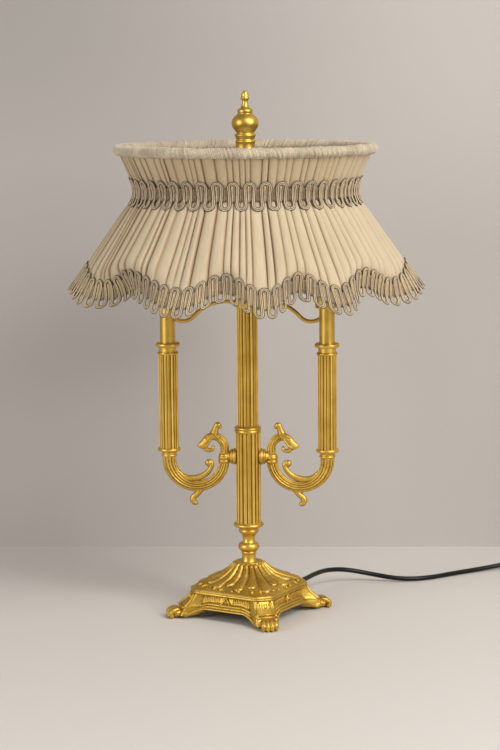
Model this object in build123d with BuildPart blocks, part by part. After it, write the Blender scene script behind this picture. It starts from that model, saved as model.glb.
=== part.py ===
from build123d import *
import os
from math import atan2, cos, hypot, pi, radians, sin, tan

# Two-candle table lamp: cast brass base on four paws, fluted column, two scroll arms and a pleated shade.
# Millimetres, +Z up, origin on the table under the column axis, +X towards the right-hand arm,
# the viewer of the photograph on the -Y side.

# Fits and clearances
slip = 0.2
run_gap = 0.3
shaft_room = 0.08
screw_room = 0.05
weld_gap = 0.1
cloth_gap = 0.4

# Small mouldings on the turned pieces
quirk = 0.8
bead_swell = 0.8
cove_depth = 1.2

# Base casting
front_foot_turn = 20.0
slab_half = 54.0
slab_corner = 13.0
slab_thickness = 4.5
slab_edge_round = 1.2
apron_height = 28.0
apron_top_half = 50.0
apron_top_corner = 12.0
apron_foot_half = 57.0
apron_foot_corner = 17.0
apron_wall = 4.5
arch_width = 84.0
arch_height = 12.0
arch_round = 9.0
dome_rise = 27.5
dome_margin = 2.0
dome_power = 1.65
dome_sections = 6
dome_wall = 5.0
dome_top_radius = 15.5
core_radius = 13.0
core_drop = 35.0

# Paws at the four corners
paw_heel_reach = 80.0
paw_heel_radius = 10.5
paw_heel_height = 5.5
ankle_reach = 72.0
ankle_radius = 8.5
ankle_height = 14.0
toe_count = 4
toe_radius = 3.2
toe_pitch = 5.0
toe_reach = 95.0
toe_length = 14.0
toe_height = 3.6
toe_droop = 1.6

# Centre rod, ballast and fixings under the base
rod_radius = 5.0
rod_bore = 3.0
rod_tail = 2.0
ballast_half = 30.0
ballast_corner = 10.0
ballast_thickness = 9.0
washer_radius = 11.0
washer_thickness = 1.5
nut_across_flats = 17.0
nut_height = 6.0

# Turned baluster between base and column
baluster_foot_radius = 8.9
baluster_foot_height = 8.5
baluster_ring_radius = 8.7
baluster_ring_height = 3.4
knop_radius = 12.1
knop_base_radius = 7.6
knop_top_radius = 7.7
knop_height = 10.0
neck_radius = 6.9
neck_height = 11.0
baluster_head_radius = 10.6
baluster_head_height = 4.6

# Fluted column
dish_radius = 17.2
dish_foot_radius = 11.2
dish_height = 7.7
dish_top_radius = 15.0
dish_flare_height = 3.1
dish_rim_height = 3.4
lower_column_radius = 14.1
lower_column_bore = 10.0
lower_column_height = 103.0
mid_collar_radius = 15.1
mid_collar_height = 8.4
mid_ring_height = 3.8
mid_bead_height = 2.9
upper_column_radius = 11.8
upper_column_bore = 8.0
upper_column_height = 183.0
cap_radius = 13.2
cap_height = 12.0
cap_rim_height = 4.0
flute_count = 16
flute_land = 1.2
flute_depth = 1.1

# Rod cover with the seat that carries the shade
cover_radius = 6.5
cover_height = 100.0
seat_radius = 11.0
seat_height = 3.0

# Scroll arms
arm_reach = 90.0
arm_drop = 30.7
arm_inner_reach = 27.0
arm_tube_radius = 6.0
arm_end_radius = 7.9
arm_end_rise = 2.5
arm_end_flare = 20.0
arm_ring_radius = 6.9
arm_ring_width = 4.2
wire_bend = 3.0
boss_radius = 9.2
boss_neck_radius = 5.6
boss_rim = 3.6
spigot_radius = 4.0
neck_tube_radius = 4.9
neck_bend_radius = 21.0
neck_bend_turn = 52.0
neck_straight = 8.0
head_thickness = 8.4
head_outline = [(-3.5, 5.2), (7.9, 6.0), (17.5, -3.2), (12.6, -5.8), (4.4, -9.0), (-1.2, -4.8)]
crest_rise = 9.0
crest_radius = 2.0
crest_ball_radius = 3.4
tendril_radius = 2.3
tendril_lift = 6.0
tendril_sweep = 88.0
tendril_start = 46.0
tendril_ball_radius = 3.9
tail_radius = 2.6
tail_drop = 13.5
tail_swing = 8.0

# Candles
collar_base_radius = 9.1
collar_radius = 12.9
collar_height = 10.0
collar_foot_height = 3.0
collar_neck_height = 1.5
collar_cove_height = 2.0
sleeve_radius = 10.8
sleeve_bore = 8.0
sleeve_height = 107.0
sleeve_flute_land = 0.9
sleeve_flute_depth = 0.9
cup_small_radius = 12.0
cup_body_radius = 9.9
cup_top_radius = 13.9
cup_height = 13.0
cup_ring_height = 2.8
cup_body_height = 5.0
cup_step_height = 1.0
tube_radius = 8.65
tube_wall = 1.2
tube_height = 40.0
nipple_radius = 4.0
nipple_bore = 2.5
nipple_engagement = 8.0
wire_radius = 1.2

# Lamp holders and bulbs
holder_radius = 13.2
holder_wall = 0.9
holder_height = 32.0
holder_floor = 1.6
insulator_rim = 3.0
insulator_floor = 8.0
bulb_cap_radius = 6.9
bulb_cap_height = 21.0
bulb_contact_radius = 3.2
bulb_contact_height = 1.8
contact_height = 3.4
bulb_radius = 17.5
bulb_height = 74.0
bulb_belly = 31.0
bulb_tip_radius = 1.6
bulb_neck_swell = 1.7
bulb_tip_swell = 4.4
bulb_wall = 1.0

# Braces from column to candles
brace_radius = 2.2
brace_rise = 27.5
brace_dip = 2.9
brace_dip_run = 8.5
brace_swing = 22.0
brace_climb = 18.0
band_radius = 14.6
band_height = 9.0

# Shade frame and cloth
rim_radius = 140.5
collar_lift = 44.5
rim_wire_radius = 2.0
rim_wrap_radius = 5.0
yarn_room = 0.05
waist_radius = 121.5
waist_drop = 30.4
waist_wire_radius = 1.6
hem_radius = 190.0
skirt_drop = 126.5
hem_ring_rise = 42.0
hem_wire_radius = 1.6
rib_count = 6
rib_radius = 1.3
rib_bend = 12.0
spider_arm_count = 3
spider_arm_radius = 1.5
spider_hub_radius = 12.0
spider_hub_height = 3.0
spider_flat = 16.0
spider_bend = 12.0
cloth_thickness = 0.8
wave_count = 14
pleats_per_wave = 2
pleat_bulge = 1.8
hem_wave = 7.0
scallop_rise = 15.0
scallop_width = 68.0
hem_margin = 32.0
trim_thickness = 1.2
waist_trim_height = 28.0
hem_trim_height = 42.0
hem_trim_hang = 12.0

# Finial
finial_skirt_radius = 12.0
finial_waist_radius = 9.8
finial_skirt_height = 20.0
finial_bead_radius = 10.6
finial_bead_height = 3.0
finial_ring_radius = 12.0
finial_ring_height = 4.2
ball_radius = 15.2
ball_seat_radius = 8.6
ball_height = 22.0
shoulder_radius = 8.3
shoulder_height = 9.0
stem_radius = 3.7
stem_height = 7.0
tip_bead_radius = 5.2
tip_bead_height = 5.0
tip_height = 6.0
tip_point_radius = 0.6
tip_swell = 1.4
finial_bore_depth = 24.0

# Flex: strain relief, cord route, in-line switch, coil and plug
cord_radius = 2.8
relief_side_shift = 18.0
relief_height = 20.0
relief_neck_radius = 5.0
relief_head_radius = 7.0
relief_head_length = 3.0
relief_tip_radius = 3.7
relief_length = 24.0
block_width = 20.0
block_length = 12.0
block_height = 12.0
lead_straight = 24.0
arc_share = 0.45
switch_start = (340.0, 240.0)
switch_length = 62.0
switch_width = 26.0
switch_height = 18.0
switch_wall = 2.0
switch_corner = 9.0
switch_edge_round = 2.5
rocker_length = 20.0
rocker_width = 10.0
rocker_rise = 5.2
rocker_dish = 0.9
rocker_tilt = 9.0
rocker_room = 1.3
pivot_drop = 4.6
pivot_radius = 1.4
pivot_length = 14.0
lug_thickness = 1.8
coil_centre = (425.0, 92.0)
coil_outer_radius = 40.0
coil_step = 6.3
coil_half_turns = 6
coil_lift = 1.0
tie_width = 11.0
tie_thickness = 0.7
tie_room = 0.3
end_run = 42.0
plug_width = 26.0
plug_length = 36.0
plug_thickness = 13.8
plug_nose = 12.0
plug_shoulder = 6.6
plug_corner_round = 2.5
plug_edge_round = 2.0
plug_relief_length = 24.0
plug_relief_radius = 4.4
plug_relief_lip = 0.6
plug_relief_overlap = 2.0
plug_pin_radius = 2.0
plug_root_radius = 1.6
plug_pin_length = 19.0
plug_pin_spacing = 18.6
plug_pin_chamfer = 0.8

# Heights that follow from the sizes above
slab_top = apron_height + slab_thickness
base_top = slab_top + dome_rise
core_bottom = base_top - core_drop
ballast_bottom = core_bottom - ballast_thickness
washer_bottom = ballast_bottom - washer_thickness
nut_bottom = washer_bottom - nut_height
rod_bottom = nut_bottom - rod_tail
baluster_ring_base = base_top + baluster_foot_height
knop_base = baluster_ring_base + baluster_ring_height
knop_top = knop_base + knop_height
baluster_head_base = knop_top + neck_height
dish_base = baluster_head_base + baluster_head_height
lower_column_base = dish_base + dish_height
mid_collar_base = lower_column_base + lower_column_height
upper_column_base = mid_collar_base + mid_collar_height
cap_base = upper_column_base + upper_column_height
cover_base = cap_base + cap_height
seat_top = cover_base + cover_height
hub_base = seat_top + run_gap
hub_top = hub_base + spider_hub_height
finial_base = hub_top + run_gap
waist_height = hub_base - waist_drop
rim_height = waist_height + collar_lift
hem_height = waist_height - skirt_drop
hem_ring_height = hem_height + hem_ring_rise
arm_height = mid_collar_base - arm_drop
scroll_radius = (arm_reach - arm_inner_reach) / 2
boss_height = arm_height + wire_bend
arm_top = arm_height + arm_end_rise
sleeve_base = arm_top + collar_height
collar_foot_top = arm_top + collar_foot_height
collar_neck_top = collar_foot_top + collar_neck_height
cup_base = sleeve_base + sleeve_height
cup_ring_top = cup_base + cup_ring_height
cup_body_top = cup_ring_top + cup_body_height
tube_base = cup_base + cup_height
holder_base = tube_base + tube_height
insulator_base = holder_base + holder_floor
contact_base = insulator_base + insulator_floor
bulb_contact_base = contact_base + contact_height + run_gap
bulb_cap_base = bulb_contact_base + bulb_contact_height
bulb_base = bulb_cap_base + bulb_cap_height
holder_top = holder_base + holder_height
base_plane = Plane.XY.rotated((0, 0, front_foot_turn - 45))
pleat_count = wave_count * pleats_per_wave

os.makedirs("parts", exist_ok=True)


def save(piece, name):
    """Label a finished piece and write it under its own name."""
    piece.part.label = name
    export_step(piece.part, f"parts/{name}.step")


def turned(outline, bore=0.0, at_x=0.0):
    """Turn a piece about a vertical axis from (radius, height, swell) stations, bottom first.

    The swell bows the stretch that leads up to its station, outwards when it is positive."""
    low = outline[0]
    high = outline[-1]
    with BuildPart() as piece:
        with BuildSketch(Plane((at_x, 0, 0), x_dir=(1, 0, 0), z_dir=(0, -1, 0))):
            with BuildLine():
                Line((bore, low[1]), low[:2])
                for below, above in zip(outline, outline[1:]):
                    if above[2]:
                        SagittaArc(below[:2], above[:2], -above[2])
                    else:
                        Line(below[:2], above[:2])
                Line(high[:2], (bore, high[1]))
                Line((bore, high[1]), (bore, low[1]))
            make_face()
        revolve(axis=Axis((at_x, 0, 0), (0, 0, 1)))
    return piece


def fluted(radius, bore, base, height, land, depth, at_x=0.0):
    """A straight shaft with round flutes cut into it between narrow lands."""
    pitch = 2 * pi * radius / flute_count
    half_width = (pitch - land) / 2
    flute_radius = (half_width**2 + depth**2) / (2 * depth)
    with BuildPart() as piece:
        with BuildSketch(Plane((at_x, 0, base))):
            Circle(radius)
            with PolarLocations(radius - depth + flute_radius, flute_count):
                Circle(flute_radius, mode=Mode.SUBTRACT)
            Circle(bore, mode=Mode.SUBTRACT)
        extrude(amount=height)
    return piece


def clipped_square(half, corner):
    """Outline of a square with its corners cut off, drawn in the current sketch."""
    flat = half - corner
    points = [
        (half, flat), (flat, half), (-flat, half), (-half, flat),
        (-half, -flat), (-flat, -half), (flat, -half), (half, -flat),
    ]
    Polygon(*points, align=None)


def dome_size(share):
    """Half width and corner cut of the dome at a share of its rise."""
    fall = (1 - share) ** dome_power
    half = dome_top_radius + (slab_half - dome_margin - dome_top_radius) * fall
    foot_cut = slab_corner / slab_half
    round_cut = 2 - 2**0.5
    return half, half * (foot_cut + (round_cut - foot_cut) * share)


def pleat_corners(radius, wave):
    """Corner points of a pleated outline, one to a pleat, with the waves of the hem."""
    corners = []
    for index in range(pleat_count):
        turn = 2 * pi * index / pleat_count
        reach = radius + wave * cos(wave_count * turn)
        corners.append((reach * cos(turn), reach * sin(turn)))
    return corners


def pleated_shell(sections, thickness, bulge):
    """A thin cloth through (height, radius, wave) sections, with one arc to a pleat, or flat where
    the bulge is zero."""
    with BuildPart() as piece:
        for inset, mode in ((0, Mode.ADD), (thickness, Mode.SUBTRACT)):
            for height, radius, wave in sections:
                corners = pleat_corners(radius - inset, wave)
                with BuildSketch(Plane.XY.offset(height)):
                    with BuildLine():
                        for start, end in zip(corners, corners[1:] + corners[:1]):
                            if bulge:
                                SagittaArc(start, end, -bulge)
                            else:
                                Line(start, end)
                    make_face()
            loft(ruled=True, mode=mode)
    return piece


# Base casting: apron with arches, slab, hollow dome, core for the rod and four paws
side_planes = [
    Plane((0, 0, 0), x_dir=base_plane.y_dir, z_dir=base_plane.x_dir),
    Plane((0, 0, 0), x_dir=-base_plane.x_dir, z_dir=base_plane.y_dir),
]
relief_side = side_planes[1].z_dir
relief_along = -side_planes[1].x_dir
relief_wall_half = apron_foot_half + (apron_top_half - apron_foot_half) * relief_height / apron_height
relief_centre = relief_side * relief_wall_half + relief_along * relief_side_shift + Vector(0, 0, relief_height)
relief_plane = Plane(relief_centre, x_dir=relief_along, z_dir=relief_side)
with BuildPart() as base_casting:
    with BuildSketch(base_plane):
        clipped_square(apron_foot_half, apron_foot_corner)
    with BuildSketch(base_plane.offset(apron_height)):
        clipped_square(apron_top_half, apron_top_corner)
    loft(ruled=True)
    with BuildSketch(base_plane.offset(apron_height)):
        clipped_square(slab_half, slab_corner)
    extrude(amount=slab_thickness)
    slab_edges = base_casting.edges().filter_by(Plane.XY).group_by(Axis.Z)[-1]
    fillet(slab_edges, slab_edge_round)
    for step in range(dome_sections):
        share = step / (dome_sections - 1)
        with BuildSketch(base_plane.offset(slab_top + dome_rise * share)):
            clipped_square(*dome_size(share))
    loft()
    with BuildSketch(base_plane):
        clipped_square(apron_foot_half - apron_wall, apron_foot_corner)
    with BuildSketch(base_plane.offset(apron_height)):
        clipped_square(apron_top_half - apron_wall, apron_top_corner)
    loft(ruled=True, mode=Mode.SUBTRACT)
    for step in range(dome_sections - 1):
        share = step / (dome_sections - 1)
        half, corner = dome_size(share)
        with BuildSketch(base_plane.offset(apron_height + (dome_rise - dome_wall) * share)):
            clipped_square(half - dome_wall, corner * (half - dome_wall) / half)
    loft(mode=Mode.SUBTRACT)
    with Locations((0, 0, core_bottom)):
        Cylinder(core_radius, core_drop, align=(Align.CENTER, Align.CENTER, Align.MIN))
    for plane in side_planes:
        with BuildSketch(plane) as arch:
            Rectangle(arch_width, 2 * arch_height)
            fillet(arch.vertices().group_by(Axis.Z)[-1], arch_round)
        extrude(amount=apron_foot_half + toe_reach, both=True, mode=Mode.SUBTRACT)
    with PolarLocations(0, 4, start_angle=front_foot_turn):
        with Locations((paw_heel_reach, 0, paw_heel_height)):
            Sphere(paw_heel_radius)
        with Locations((ankle_reach, 0, ankle_height)):
            Sphere(ankle_radius)
        for toe in range(toe_count):
            across = (toe - (toe_count - 1) / 2) * toe_pitch
            tip = toe_reach - abs(across) * toe_droop / 2
            with Locations((tip, across, toe_height)):
                Sphere(toe_radius)
            with Locations(Location((tip, across, toe_height), (0, -90, 0))):
                Cylinder(toe_radius, toe_length, align=(Align.CENTER, Align.CENTER, Align.MIN))
    with Locations((0, 0, 0)):
        Box(4 * toe_reach, 4 * toe_reach, 2 * paw_heel_radius, align=(Align.CENTER, Align.CENTER, Align.MAX),
            mode=Mode.SUBTRACT)
    with Locations((0, 0, core_bottom)):
        Cylinder(rod_radius + slip, 2 * core_drop, align=(Align.CENTER, Align.CENTER, Align.CENTER),
                 mode=Mode.SUBTRACT)
    with BuildSketch(relief_plane.offset(-apron_wall * 3)):
        Circle(relief_neck_radius + slip)
    extrude(amount=apron_wall * 6, mode=Mode.SUBTRACT)
save(base_casting, "base_casting")

# Ballast plate, washer, nut and the hollow rod that ties the whole column together
with BuildPart() as ballast:
    with BuildSketch(base_plane.offset(ballast_bottom)):
        clipped_square(ballast_half, ballast_corner)
        Circle(rod_radius + slip, mode=Mode.SUBTRACT)
    extrude(amount=ballast_thickness)
save(ballast, "ballast")

base_washer = turned(
    [(washer_radius, washer_bottom, 0), (washer_radius, ballast_bottom, 0)], rod_radius + slip
)
save(base_washer, "base_washer")

with BuildPart() as base_nut:
    with BuildSketch(Plane.XY.offset(nut_bottom)):
        RegularPolygon(nut_across_flats / 2, 6, major_radius=False)
        Circle(rod_radius + screw_room, mode=Mode.SUBTRACT)
    extrude(amount=nut_height)
save(base_nut, "base_nut")

rod_top = finial_base + finial_bore_depth - run_gap
centre_rod = turned([(rod_radius, rod_bottom, 0), (rod_radius, rod_top, 0)], rod_bore)
save(centre_rod, "centre_rod")

# Baluster, dish and the two fluted shafts with their collars
baluster = turned(
    [
        (baluster_foot_radius, base_top, 0),
        (baluster_ring_radius - bead_swell, baluster_ring_base, -cove_depth / 2),
        (baluster_ring_radius - bead_swell, knop_base, bead_swell),
        (knop_base_radius, knop_base, 0),
        (knop_top_radius, knop_top, knop_radius - knop_base_radius),
        (baluster_head_radius, baluster_head_base, neck_radius - (knop_top_radius + baluster_head_radius) / 2),
        (baluster_head_radius, dish_base, bead_swell),
    ],
    rod_radius + slip,
)
save(baluster, "baluster")

column_dish = turned(
    [
        (dish_foot_radius, dish_base, 0),
        (dish_radius - bead_swell, dish_base + dish_flare_height, -cove_depth),
        (dish_radius - bead_swell, dish_base + dish_flare_height + dish_rim_height, bead_swell),
        (dish_top_radius, lower_column_base, 0),
    ],
    rod_radius + slip,
)
save(column_dish, "column_dish")

lower_column = fluted(
    lower_column_radius, lower_column_bore, lower_column_base, lower_column_height, flute_land, flute_depth
)
with BuildPart() as drilled_column:
    add(lower_column.part)
    with Locations(Location((0, 0, boss_height), (0, 90, 0))):
        Cylinder(spigot_radius + screw_room, 4 * lower_column_radius, mode=Mode.SUBTRACT)
save(drilled_column, "lower_column")

mid_collar = turned(
    [
        (mid_collar_radius - bead_swell, mid_collar_base, 0),
        (mid_collar_radius - bead_swell, mid_collar_base + mid_ring_height, bead_swell),
        (mid_collar_radius - bead_swell, mid_collar_base + mid_ring_height + mid_bead_height, bead_swell),
        (upper_column_radius + quirk, upper_column_base, 0),
    ],
    rod_radius + slip,
)
save(mid_collar, "mid_collar")

upper_column = fluted(
    upper_column_radius, upper_column_bore, upper_column_base, upper_column_height, flute_land, flute_depth
)
save(upper_column, "upper_column")

column_cap = turned(
    [
        (cap_radius, cap_base, 0),
        (cap_radius, cap_base + cap_rim_height, bead_swell),
        (cover_radius + 2 * quirk, cover_base, -cove_depth),
    ],
    rod_radius + slip,
)
save(column_cap, "column_cap")

rod_cover = turned(
    [
        (cover_radius, cover_base, 0),
        (cover_radius, seat_top - seat_height, 0),
        (seat_radius, seat_top - seat_height, 0),
        (seat_radius, seat_top, 0),
    ],
    rod_radius + slip,
)
save(rod_cover, "rod_cover")

# Band on the column that the braces end in
band_base = tube_base + brace_rise + brace_climb - band_height / 2
brace_band = turned(
    [
        (band_radius - quirk, band_base, 0),
        (band_radius, band_base + band_height / 2, 0),
        (band_radius - quirk, band_base + band_height, 0),
    ],
    upper_column_radius + slip,
)
save(brace_band, "brace_band")


def wire_route(side):
    """Centre line of the wire from the lamp holder down through the arm and into the column."""
    plane = Plane((0, 0, 0), x_dir=(side, 0, 0), z_dir=(0, -side, 0))
    with BuildLine(plane) as route:
        Line((arm_reach, insulator_base - run_gap), (arm_reach, arm_height))
        CenterArc((arm_reach - scroll_radius, arm_height), scroll_radius, 0, -180)
        CenterArc((arm_inner_reach - wire_bend, arm_height), wire_bend, 0, 90)
        Line((arm_inner_reach - wire_bend, boss_height), (rod_radius + slip + run_gap, boss_height))
    return route


def build_arm(side):
    """Cast scroll arm: reeded hook, ringed joint, boss with spigot, beast-head finish and tendrils."""
    candle = side * arm_reach
    middle = side * (arm_reach - scroll_radius)
    inner = side * arm_inner_reach
    mirror_plane = Plane((0, 0, 0), x_dir=(side, 0, 0), z_dir=(0, -side, 0))
    middle_x = arm_reach - scroll_radius
    ring_top = arm_height + arm_ring_width
    bend_centre = (arm_inner_reach + neck_bend_radius, ring_top + neck_straight - wire_bend)
    turn = radians(180 - neck_bend_turn)
    route = wire_route(side)
    neck_end = (bend_centre[0] + neck_bend_radius * cos(turn), bend_centre[1] + neck_bend_radius * sin(turn))
    with BuildPart() as arm:
        # Hook and its flared end under the candle
        with BuildSketch(Plane((candle, 0, arm_height))):
            Circle(arm_tube_radius)
        revolve(axis=Axis((middle, 0, arm_height), (0, side, 0)), revolution_arc=180)
        with BuildSketch(Plane((candle, 0, arm_top), x_dir=(1, 0, 0), z_dir=(0, 0, -1))):
            Circle(arm_end_radius)
        with BuildSketch(Plane((candle, 0, arm_height), x_dir=(1, 0, 0), z_dir=(0, 0, -1))):
            Circle(arm_end_radius)
        loft()
        with Locations((candle, 0, arm_height)):
            Cone(arm_tube_radius - quirk, arm_end_radius, arm_end_flare,
                 align=(Align.CENTER, Align.CENTER, Align.MAX))
        # Two rings at the joint
        for ring_height in (arm_height - arm_ring_width / 2, arm_height + arm_ring_width / 2):
            with Locations((inner, 0, ring_height)):
                Cylinder(arm_ring_radius, arm_ring_width - weld_gap)
        with Locations((inner, 0, arm_height)):
            Cylinder(arm_tube_radius, 3 * arm_ring_width)
        # Boss against the column and the spigot that screws into it
        with BuildSketch(Plane((0, 0, boss_height), x_dir=(side, 0, 0), z_dir=(0, -side, 0))):
            with BuildLine():
                Polyline(
                    (lower_column_radius, 0),
                    (lower_column_radius, boss_radius),
                    (lower_column_radius + boss_rim, boss_radius - quirk),
                    (arm_inner_reach - arm_tube_radius + quirk, boss_neck_radius),
                    (arm_inner_reach, boss_neck_radius),
                    (arm_inner_reach, 0),
                    (lower_column_radius, 0),
                )
            make_face()
        revolve(axis=Axis((0, 0, boss_height), (1, 0, 0)))
        with Locations((0, 0, boss_height)):
            Cylinder(lower_column_radius, 4 * boss_radius, mode=Mode.SUBTRACT)
        wall_middle = (lower_column_bore + lower_column_radius) / 2
        with Locations(Location((side * wall_middle, 0, boss_height), (0, 90, 0))):
            Cylinder(spigot_radius, lower_column_radius - lower_column_bore + boss_rim)
        # Neck that curls up and out
        with BuildLine(mirror_plane) as neck_path:
            Line((arm_inner_reach, arm_height), (arm_inner_reach, bend_centre[1]))
            CenterArc(bend_centre, neck_bend_radius, 180, -neck_bend_turn)
        with BuildSketch(Plane((inner, 0, arm_height))):
            Circle(neck_tube_radius)
        sweep(path=neck_path.wires()[0])
        # Wedge-shaped head with a blunt jaw
        with BuildSketch(mirror_plane):
            with Locations(Location((neck_end[0], neck_end[1], 0), (0, 0, -neck_bend_turn))):
                Polygon(*head_outline, align=None)
        extrude(amount=head_thickness / 2, both=True)
        # Crest with a ball
        crest_foot = (neck_end[0] - crest_radius, neck_end[1] + neck_tube_radius - crest_radius)
        crest_top = (crest_foot[0] - crest_radius, crest_foot[1] + crest_rise)
        with BuildLine(mirror_plane) as crest_path:
            SagittaArc(crest_foot, crest_top, -crest_radius / 2)
        with BuildSketch(Plane(crest_path.line @ 0, z_dir=crest_path.line % 0)):
            Circle(crest_radius)
        sweep(path=crest_path.wires()[0])
        with Locations((side * crest_top[0], 0, crest_top[1])):
            Sphere(crest_ball_radius)
        # Tendril inside the hook, ending in a ball
        tendril_arc = scroll_radius - arm_tube_radius + tendril_radius
        tendril_centre = (middle_x - tendril_lift, arm_height + tendril_lift)
        with BuildLine(mirror_plane) as tendril_path:
            CenterArc(tendril_centre, tendril_arc - tendril_lift, -tendril_start, -tendril_sweep)
        with BuildSketch(Plane(tendril_path.line @ 0, z_dir=tendril_path.line % 0)):
            Circle(tendril_radius)
        sweep(path=tendril_path.wires()[0])
        tendril_end = tendril_path.line @ 1
        with Locations(tendril_end):
            Sphere(tendril_ball_radius)
        # Tail leaf under the hook
        tail_root = (middle_x - tail_radius, arm_height - scroll_radius - arm_tube_radius + tail_radius)
        tail_tip = (tail_root[0] + tail_swing / 2, tail_root[1] - tail_drop)
        with BuildLine(mirror_plane) as tail_path:
            SagittaArc(tail_root, tail_tip, tail_swing / 2)
        with BuildSketch(Plane(tail_path.line @ 0, z_dir=tail_path.line % 0)):
            Circle(tail_radius)
        sweep(path=tail_path.wires()[0])
        with Locations((side * tail_tip[0], 0, tail_tip[1])):
            Sphere(tail_radius)
        # Seat for the candle nipple and the way for the wire
        with Locations((candle, 0, arm_top)):
            Cylinder(nipple_radius + screw_room, 2 * nipple_engagement, mode=Mode.SUBTRACT)
        with BuildSketch(Plane(route.line @ 0, z_dir=route.line % 0)):
            Circle(nipple_bore)
        sweep(path=route.wires()[0], mode=Mode.SUBTRACT)
    return arm


for side, word in ((-1, "left"), (1, "right")):
    candle = side * arm_reach
    arm = build_arm(side)
    save(arm, f"arm_{word}")

    collar = turned(
        [
            (collar_base_radius - bead_swell, arm_top, 0),
            (collar_base_radius - bead_swell, collar_foot_top, bead_swell),
            (collar_base_radius - bead_swell, collar_neck_top, 0),
            (collar_radius - bead_swell, collar_neck_top + collar_cove_height, -cove_depth / 2),
            (collar_radius - bead_swell, sleeve_base, bead_swell),
        ],
        nipple_radius + slip,
        candle,
    )
    save(collar, f"candle_collar_{word}")

    sleeve = fluted(
        sleeve_radius, sleeve_bore, sleeve_base, sleeve_height, sleeve_flute_land, sleeve_flute_depth, candle
    )
    save(sleeve, f"candle_sleeve_{word}")

    cup = turned(
        [
            (cup_small_radius - bead_swell, cup_base, 0),
            (cup_small_radius - bead_swell, cup_ring_top, bead_swell),
            (cup_body_radius, cup_ring_top, 0),
            (cup_body_radius, cup_body_top, 0),
            (cup_top_radius - bead_swell, cup_body_top + cup_step_height, 0),
            (cup_top_radius - bead_swell, tube_base, bead_swell),
        ],
        nipple_radius + slip,
        candle,
    )
    save(cup, f"candle_cup_{word}")

    tube = turned(
        [(tube_radius, tube_base, 0), (tube_radius, holder_base, 0)], tube_radius - tube_wall, candle
    )
    save(tube, f"candle_tube_{word}")

    with BuildPart() as holder:
        with Locations((candle, 0, holder_base)):
            Cylinder(holder_radius, holder_height, align=(Align.CENTER, Align.CENTER, Align.MIN))
            Cylinder(nipple_radius + slip, holder_height, mode=Mode.SUBTRACT)
        fillet(holder.edges().filter_by(GeomType.CIRCLE).group_by(Axis.Z)[0].sort_by(SortBy.LENGTH)[-1:],
               holder_wall)
        with Locations((candle, 0, insulator_base)):
            Cylinder(holder_radius - holder_wall, holder_height, align=(Align.CENTER, Align.CENTER, Align.MIN),
                     mode=Mode.SUBTRACT)
    save(holder, f"holder_shell_{word}")

    with BuildPart() as insulator:
        with Locations((candle, 0, insulator_base)):
            Cylinder(holder_radius - holder_wall - slip, holder_top - insulator_base,
                     align=(Align.CENTER, Align.CENTER, Align.MIN))
        with Locations((candle, 0, holder_top)):
            Cylinder(holder_radius, insulator_rim, align=(Align.CENTER, Align.CENTER, Align.MIN))
        with Locations((candle, 0, contact_base)):
            Cylinder(bulb_cap_radius + run_gap, holder_height, align=(Align.CENTER, Align.CENTER, Align.MIN),
                     mode=Mode.SUBTRACT)
    save(insulator, f"holder_insulator_{word}")

    bulb_cap = turned(
        [
            (bulb_contact_radius, bulb_contact_base, 0),
            (bulb_contact_radius, bulb_cap_base, 0),
            (bulb_cap_radius, bulb_cap_base + bulb_contact_height, 0),
            (bulb_cap_radius, bulb_base, 0),
        ],
        0.0,
        candle,
    )
    save(bulb_cap, f"bulb_cap_{word}")

    bulb_outside = turned(
        [
            (bulb_cap_radius, bulb_base, 0),
            (bulb_radius, bulb_base + bulb_belly, bulb_neck_swell),
            (bulb_tip_radius, bulb_base + bulb_height, bulb_tip_swell),
        ],
        0.0,
        candle,
    )
    bulb_inside = turned(
        [
            (bulb_cap_radius - bulb_wall, bulb_base, 0),
            (bulb_radius - bulb_wall, bulb_base + bulb_belly, bulb_neck_swell),
            (bulb_tip_radius, bulb_base + bulb_height - 2 * bulb_wall, bulb_tip_swell),
        ],
        0.0,
        candle,
    )
    with BuildPart() as bulb_glass:
        add(bulb_outside.part)
        add(bulb_inside.part, mode=Mode.SUBTRACT)
    save(bulb_glass, f"bulb_glass_{word}")

    # Brace: a bent rod that dips at the candle tube and climbs to the band on the column
    brace_plane = Plane((0, 0, tube_base), x_dir=(side, 0, 0), z_dir=(0, -side, 0))
    with BuildLine(brace_plane) as brace_path:
        dip = ThreePointArc(
            (arm_reach - tube_radius + tube_wall, brace_rise + brace_dip / 4),
            (arm_reach - tube_radius - brace_dip_run, brace_rise - brace_dip),
            (arm_reach - tube_radius - brace_swing, brace_rise + brace_dip),
        )
        TangentArc(dip @ 1, (upper_column_radius + slip, brace_rise + brace_climb), tangent=dip % 1)
    with BuildPart() as brace:
        with BuildSketch(Plane(brace_path.line @ 0, z_dir=brace_path.line % 0)):
            Circle(brace_radius)
        sweep(path=brace_path.wires()[0])
        with Locations((candle, 0, tube_base)):
            Cylinder(tube_radius, 2 * tube_height, mode=Mode.SUBTRACT)
        with Locations((0, 0, tube_base)):
            Cylinder(band_radius + weld_gap, 3 * tube_height, mode=Mode.SUBTRACT)
    save(brace, f"brace_{word}")

# Threaded nipples inside the candles, the holders' centre contacts and the wires, each a pair
with BuildPart() as candle_nipples:
    for side in (-1, 1):
        with BuildSketch(Plane((side * arm_reach, 0, arm_top - nipple_engagement))):
            Circle(nipple_radius)
            Circle(nipple_bore, mode=Mode.SUBTRACT)
        extrude(amount=insulator_base - arm_top + nipple_engagement)
save(candle_nipples, "candle_nipples")

with BuildPart() as holder_contacts:
    for side in (-1, 1):
        with Locations((side * arm_reach, 0, contact_base)):
            Cylinder(bulb_contact_radius, contact_height, align=(Align.CENTER, Align.CENTER, Align.MIN))
save(holder_contacts, "holder_contacts")

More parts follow.
